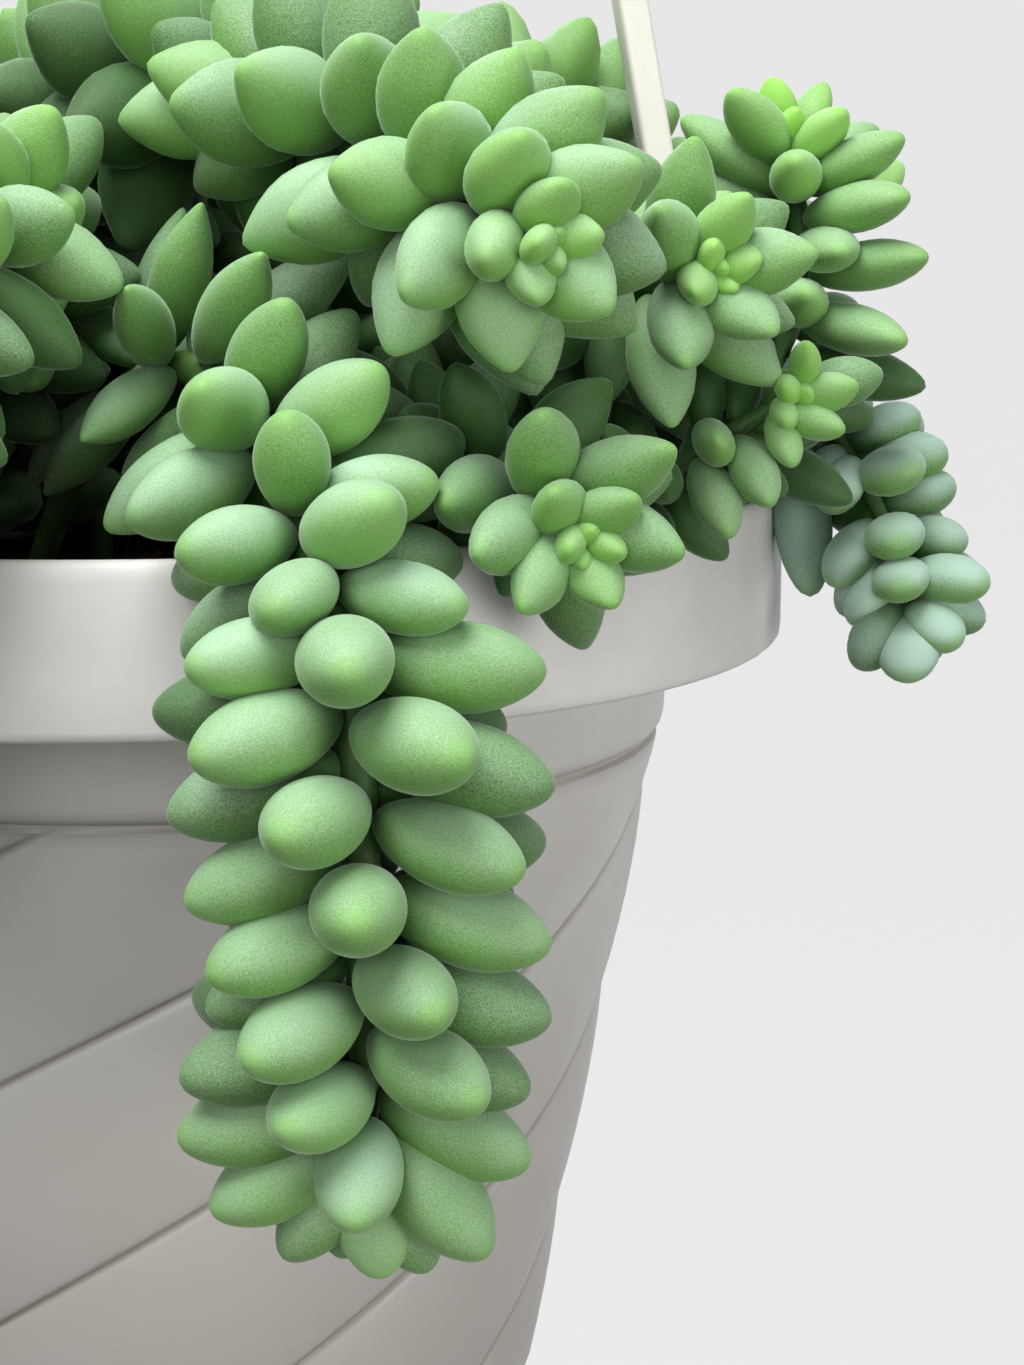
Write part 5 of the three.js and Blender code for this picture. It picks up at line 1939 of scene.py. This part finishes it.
def stem_plans() -> list[StemPlan]:
    """Returns the plan of every stem, each line from the soil to the tip."""
    rosette_leaves, upright_leaves = right_leaves()
    shoot_leaves, drooping_leaves = low_right_leaves()
    plans = [
        StemPlan(
            "front_trail",
            (
                (-14, -38, 132), (-1, -56, 165), (13, -76, 173), (22, -90, 166),
                (28, -102, 159), (34, -112, 147), (37, -116, 133), (38, -116, 116),
                (38, -113, 98), (38, -110, 82), (38, -108, 72),
            ),
            phase=84, spin=-1, glow=0.3, bloom=0.74, light=0.25, spacing=2.1, open_ranks=3.2,
            grow_ranks=2.4, plump=1.04, point=0.22, fan=98, bare=50, smoothing=2,
            seen=front_trail_leaves(),
        ),
        StemPlan(
            "arch",
            (
                (-10, -2, 132), (-14, -2, 175), (-8, -12, 206), (18, -44, 209),
                (42, -84, 200), (61, -116, 189),
            ),
            scale=1.08, phase=40, glow=0.5, bloom=0.74, light=0.2, freedom=0.5, plump=1.08, point=0.55,
            bare=48, smoothing=1, seen=arch_leaves(),
        ),
        StemPlan(
            "right_a", ((38, -22, 132), (50, -32, 162), (66, -56, 179), (83, -86, 187)),
            scale=0.8, spin=-1, glow=0.8, bloom=0.62, light=0.3, freedom=0.5, plump=0.96, point=0.5,
            bare=34, smoothing=1, seen=rosette_leaves,
        ),
        StemPlan(
            "right_b", ((60, -26, 132), (74, -32, 148), (90, -36, 163), (99, -38, 183), (96, -40, 203)),
            scale=0.85, glow=1.3, bloom=0.7, light=0.4, freedom=0.5, spacing=2.4, grow_ranks=3.0,
            plump=0.86, point=0.3, bare=24, smoothing=1, seen=upright_leaves,
        ),
        StemPlan(
            "lip", ((20, -34, 132), (38, -57, 156), (54, -83, 159), (66, -108, 153)),
            scale=0.8, spin=-1, glow=0.6, bloom=0.6, light=0.3, freedom=0.5, plump=0.96, point=0.45,
            bare=38, smoothing=1, seen=lip_leaves(),
        ),
        StemPlan(
            "side_shoot", ((50, -46, 132), (64, -60, 148), (81, -68, 160), (96, -73, 170)),
            scale=0.6, spin=-1, glow=0.8, bloom=0.55, light=0.6, freedom=0.6, plump=1.0, bare=34,
            smoothing=1, seen=shoot_leaves,
        ),
        StemPlan(
            "droop",
            (
                (70, -8, 132), (86, -14, 156), (101, -21, 163), (110, -27, 153),
                (115, -31, 140), (117, -33, 130),
            ),
            scale=0.54, glow=0.1, bloom=1.6, light=0.5, freedom=0.5, grow_ranks=2.0, plump=1.36,
            point=0.05, smoothing=1, seen=drooping_leaves,
        ),
        StemPlan(
            "left_near",
            (
                (-30, -44, 132), (-20, -58, 172), (-12, -76, 191), (-13, -94, 191),
                (-21, -111, 178), (-31, -119, 158), (-37, -119, 134), (-39, -116, 108),
            ),
            scale=0.84, glow=0.4, bloom=0.68, freedom=0.5, point=0.4, bare=34, smoothing=1,
            seen=left_leaves(),
        ),
    ]
    trails = ((63, 95), (84, 48), (105, 110), (147, 84), (170, 120), (193, 56), (217, 100))
    for k, (angle, drop) in enumerate(trails):
        line = polar_line(
            (54, angle - 6, 132), (70, angle - 3, 157), (98, angle, 163), (114, angle, 148),
            (118, angle, 128), (115, angle + 1, 138 - drop / 2), (112, angle + 2, 150 - drop),
        )
        name, spin = f"trail_{k + 1}", 1 if k % 2 else -1
        plans.append(StemPlan(name, line, 0.95, phase=37 * k, spin=spin, glow=0.45, bloom=0.75))
    shorts = ((50, 44, 34), (92, 42, 86), (125, 42, 117), (160, 42, 154), (205, 42, 196))
    for k, (angle, radius, root) in enumerate(shorts):
        line = polar_line(
            (radius, root, 132), (radius + 9, (angle + root) / 2, 166), (76, angle, 185),
            (102, angle - 2, 187), (119, angle - 3, 173),
        )
        name, spin = f"short_{k + 1}", -1 if k % 2 else 1
        plans.append(StemPlan(name, line, 0.9, phase=71 * k, spin=spin, glow=0.6, bloom=0.65))
    tops = (
        (31, 30, 36, 204), (72, 24, 76, 214), (112, 30, 124, 208),
        (175, 32, 173, 212), (222, 33, 213, 213),
    )
    for k, (angle, radius, root, height) in enumerate(tops):
        line = polar_line(
            (radius, root, 132), (radius + 7, (angle + root) / 2, 176),
            (radius + 24, angle, height - 3), (76, angle - 3, height), (92, angle - 4, height - 11),
        )
        name, spin = f"top_{k + 1}", 1 if k % 2 else -1
        plans.append(StemPlan(name, line, 0.95, phase=53 * k, spin=spin, glow=0.6, bloom=0.65))
    crown = ((12, 10, 132), (12, 10, 175), (10, 14, 212), (4, 20, 238))
    plans.append(StemPlan("crown", crown, 0.9, glow=0.7, bloom=0.6))
    return plans


# Studio


@dataclass
class Studio:
    """A pale paper sweep, soft light from all sides, and the photo's camera."""

    sweep: PaperSweep
    floor_z: float = -450.0
    floor_radius: float = 3000.0
    wall_radius: float = 4200.0
    curve_steps: int = 12
    sky: str = "#f4f6f8"
    sky_above: float = 0.42
    sky_below: float = 0.05
    boxes: tuple[tuple[str, Triple, Triple, float, float], ...] = (
        ("top_box", (-260, -520, 1400), (20, -60, 140), 1000, 31),
        ("key_box", (-300, -1500, 480), (10, -60, 100), 900, 8),
        ("fill_box", (1250, -1000, -150), (30, -40, 60), 900, 13),
        ("back_box", (-500, 1400, 900), (0, 40, 140), 1000, 12),
    )

    def floor(self) -> None:
        """Builds the floor, a disc whose edge curves up all round."""
        rise = self.wall_radius - self.floor_radius
        rings = [(radius, self.floor_z) for radius in (200.0, 1200.0, self.floor_radius)]
        for k in range(1, self.curve_steps + 1):
            angle = math.radians(90 * k / self.curve_steps)
            radius = self.floor_radius + rise * math.sin(angle)
            rings.append((radius, self.floor_z + rise * (1 - math.cos(angle))))
        rings.append((self.wall_radius, self.floor_z + 2.2 * rise))
        deselect_all()
        radius, z = rings[0]
        bpy.ops.mesh.primitive_circle_add(
            vertices=96, radius=radius * MM, location=(0, 0, z * MM), fill_type="NGON"
        )
        piece = bpy.context.object
        piece.name = "floor_sweep"
        settle_origin(piece)
        bpy.ops.object.mode_set(mode="EDIT")
        for (was_radius, was_z), (radius, z) in zip(rings, rings[1:], strict=False):
            edge = was_radius * MM * 0.999
            pick(piece, lambda p, edge=edge: math.hypot(p.x, p.y) > edge)
            bpy.ops.mesh.select_mode(type="EDGE")
            bpy.ops.mesh.extrude_edges_move(TRANSFORM_OT_translate={"value": (0, 0, (z - was_z) * MM)})
            share = radius / was_radius
            bpy.ops.transform.resize(value=(share, share, 1), center_override=(0, 0, z * MM))
            bpy.ops.mesh.select_mode(type="VERT")
        bpy.ops.object.mode_set(mode="OBJECT")
        bpy.ops.object.shade_smooth()
        piece.data.materials.append(self.sweep.material())
        piece.visible_diffuse = False

    def softbox(self, name: str, place: Triple, aim: Triple, size: float, power: float) -> None:
        """Hangs one square soft light.

        Args:
            name: The light's name.
            place: Where it hangs, in millimetres.
            aim: What it points at.
            size: Its side in millimetres.
            power: Its power in watts.
        """
        light = bpy.data.lights.new(name, "AREA")
        light.shape = "SQUARE"
        light.size = size * MM
        light.energy = power
        holder = new_object(name, light)
        holder.location = Vector(place) * MM
        holder.rotation_euler = (Vector(aim) - Vector(place)).to_track_quat("-Z", "Y").to_euler()
        holder.visible_camera = False

    def lights(self) -> None:
        """Lights the scene: a sky brighter overhead and soft boxes above, around and behind."""
        world = bpy.data.worlds.new("studio_air")
        world.use_nodes = True
        world.node_tree.nodes.clear()
        place = add_node(world.node_tree, "TexCoord").outputs["Generated"]
        height = add_node(world.node_tree, "SeparateXYZ", links={0: place}).outputs[2]
        strength = add_node(
            world.node_tree, "MapRange", {1: -0.4, 2: 0.9, 3: self.sky_below, 4: self.sky_above},
            {0: height},
        )
        air = add_node(world.node_tree, "Background", {"Color": linear(self.sky)}, {"Strength": strength})
        add_node(world.node_tree, "OutputWorld", links={0: air})
        bpy.context.scene.world = world
        for box in self.boxes:
            self.softbox(*box)

    def camera(self) -> None:
        """Sets up the camera that took the photo."""
        lens = bpy.data.cameras.new("photo_camera")
        lens.lens = LENS
        lens.sensor_width = SENSOR
        lens.clip_start = 0.01
        lens.clip_end = 40.0
        holder = new_object("photo_camera", lens)
        holder.location = Vector(CAMERA_PLACE) * MM
        holder.rotation_euler = (math.radians(90 - CAMERA_DOWN), 0, 0)
        bpy.context.scene.camera = holder

    def build(self) -> None:
        """Builds the floor, the lights and the camera."""
        self.floor()
        self.lights()
        self.camera()
        bpy.context.scene.view_settings.view_transform = "Standard"


def main() -> None:
    """Builds every piece in order and reports each."""
    logging.basicConfig(level=logging.INFO, format="%(message)s", stream=sys.stdout)
    plant = Plant(stem_plans(), LeafSkin(), StemSkin())
    pot_plastic = MouldedPlastic(
        "satin_polypropylene", colour="#eceae7", cloud="#dedad4", painted_shade="#a19b93", roughness=0.42,
        painted_shade_top=RIM_FOOT_Z, painted_shade_low=0.9, painted_shade_high=0.3,
    )
    hanger_plastic = MouldedPlastic(
        "cream_polypropylene", colour="#dddcd2", cloud="#d6d5ca", painted_shade="#d6d5ca", roughness=0.36,
    )
    SwirledPot(pot_plastic).build()
    SoilBed(PottingMix(), Perlite(), plant.roots()).build()
    Hanger(hanger_plastic).build()
    plant.build()
    Studio(PaperSweep()).build()
    bpy.context.view_layer.update()


if __name__ == "__main__":
    main()
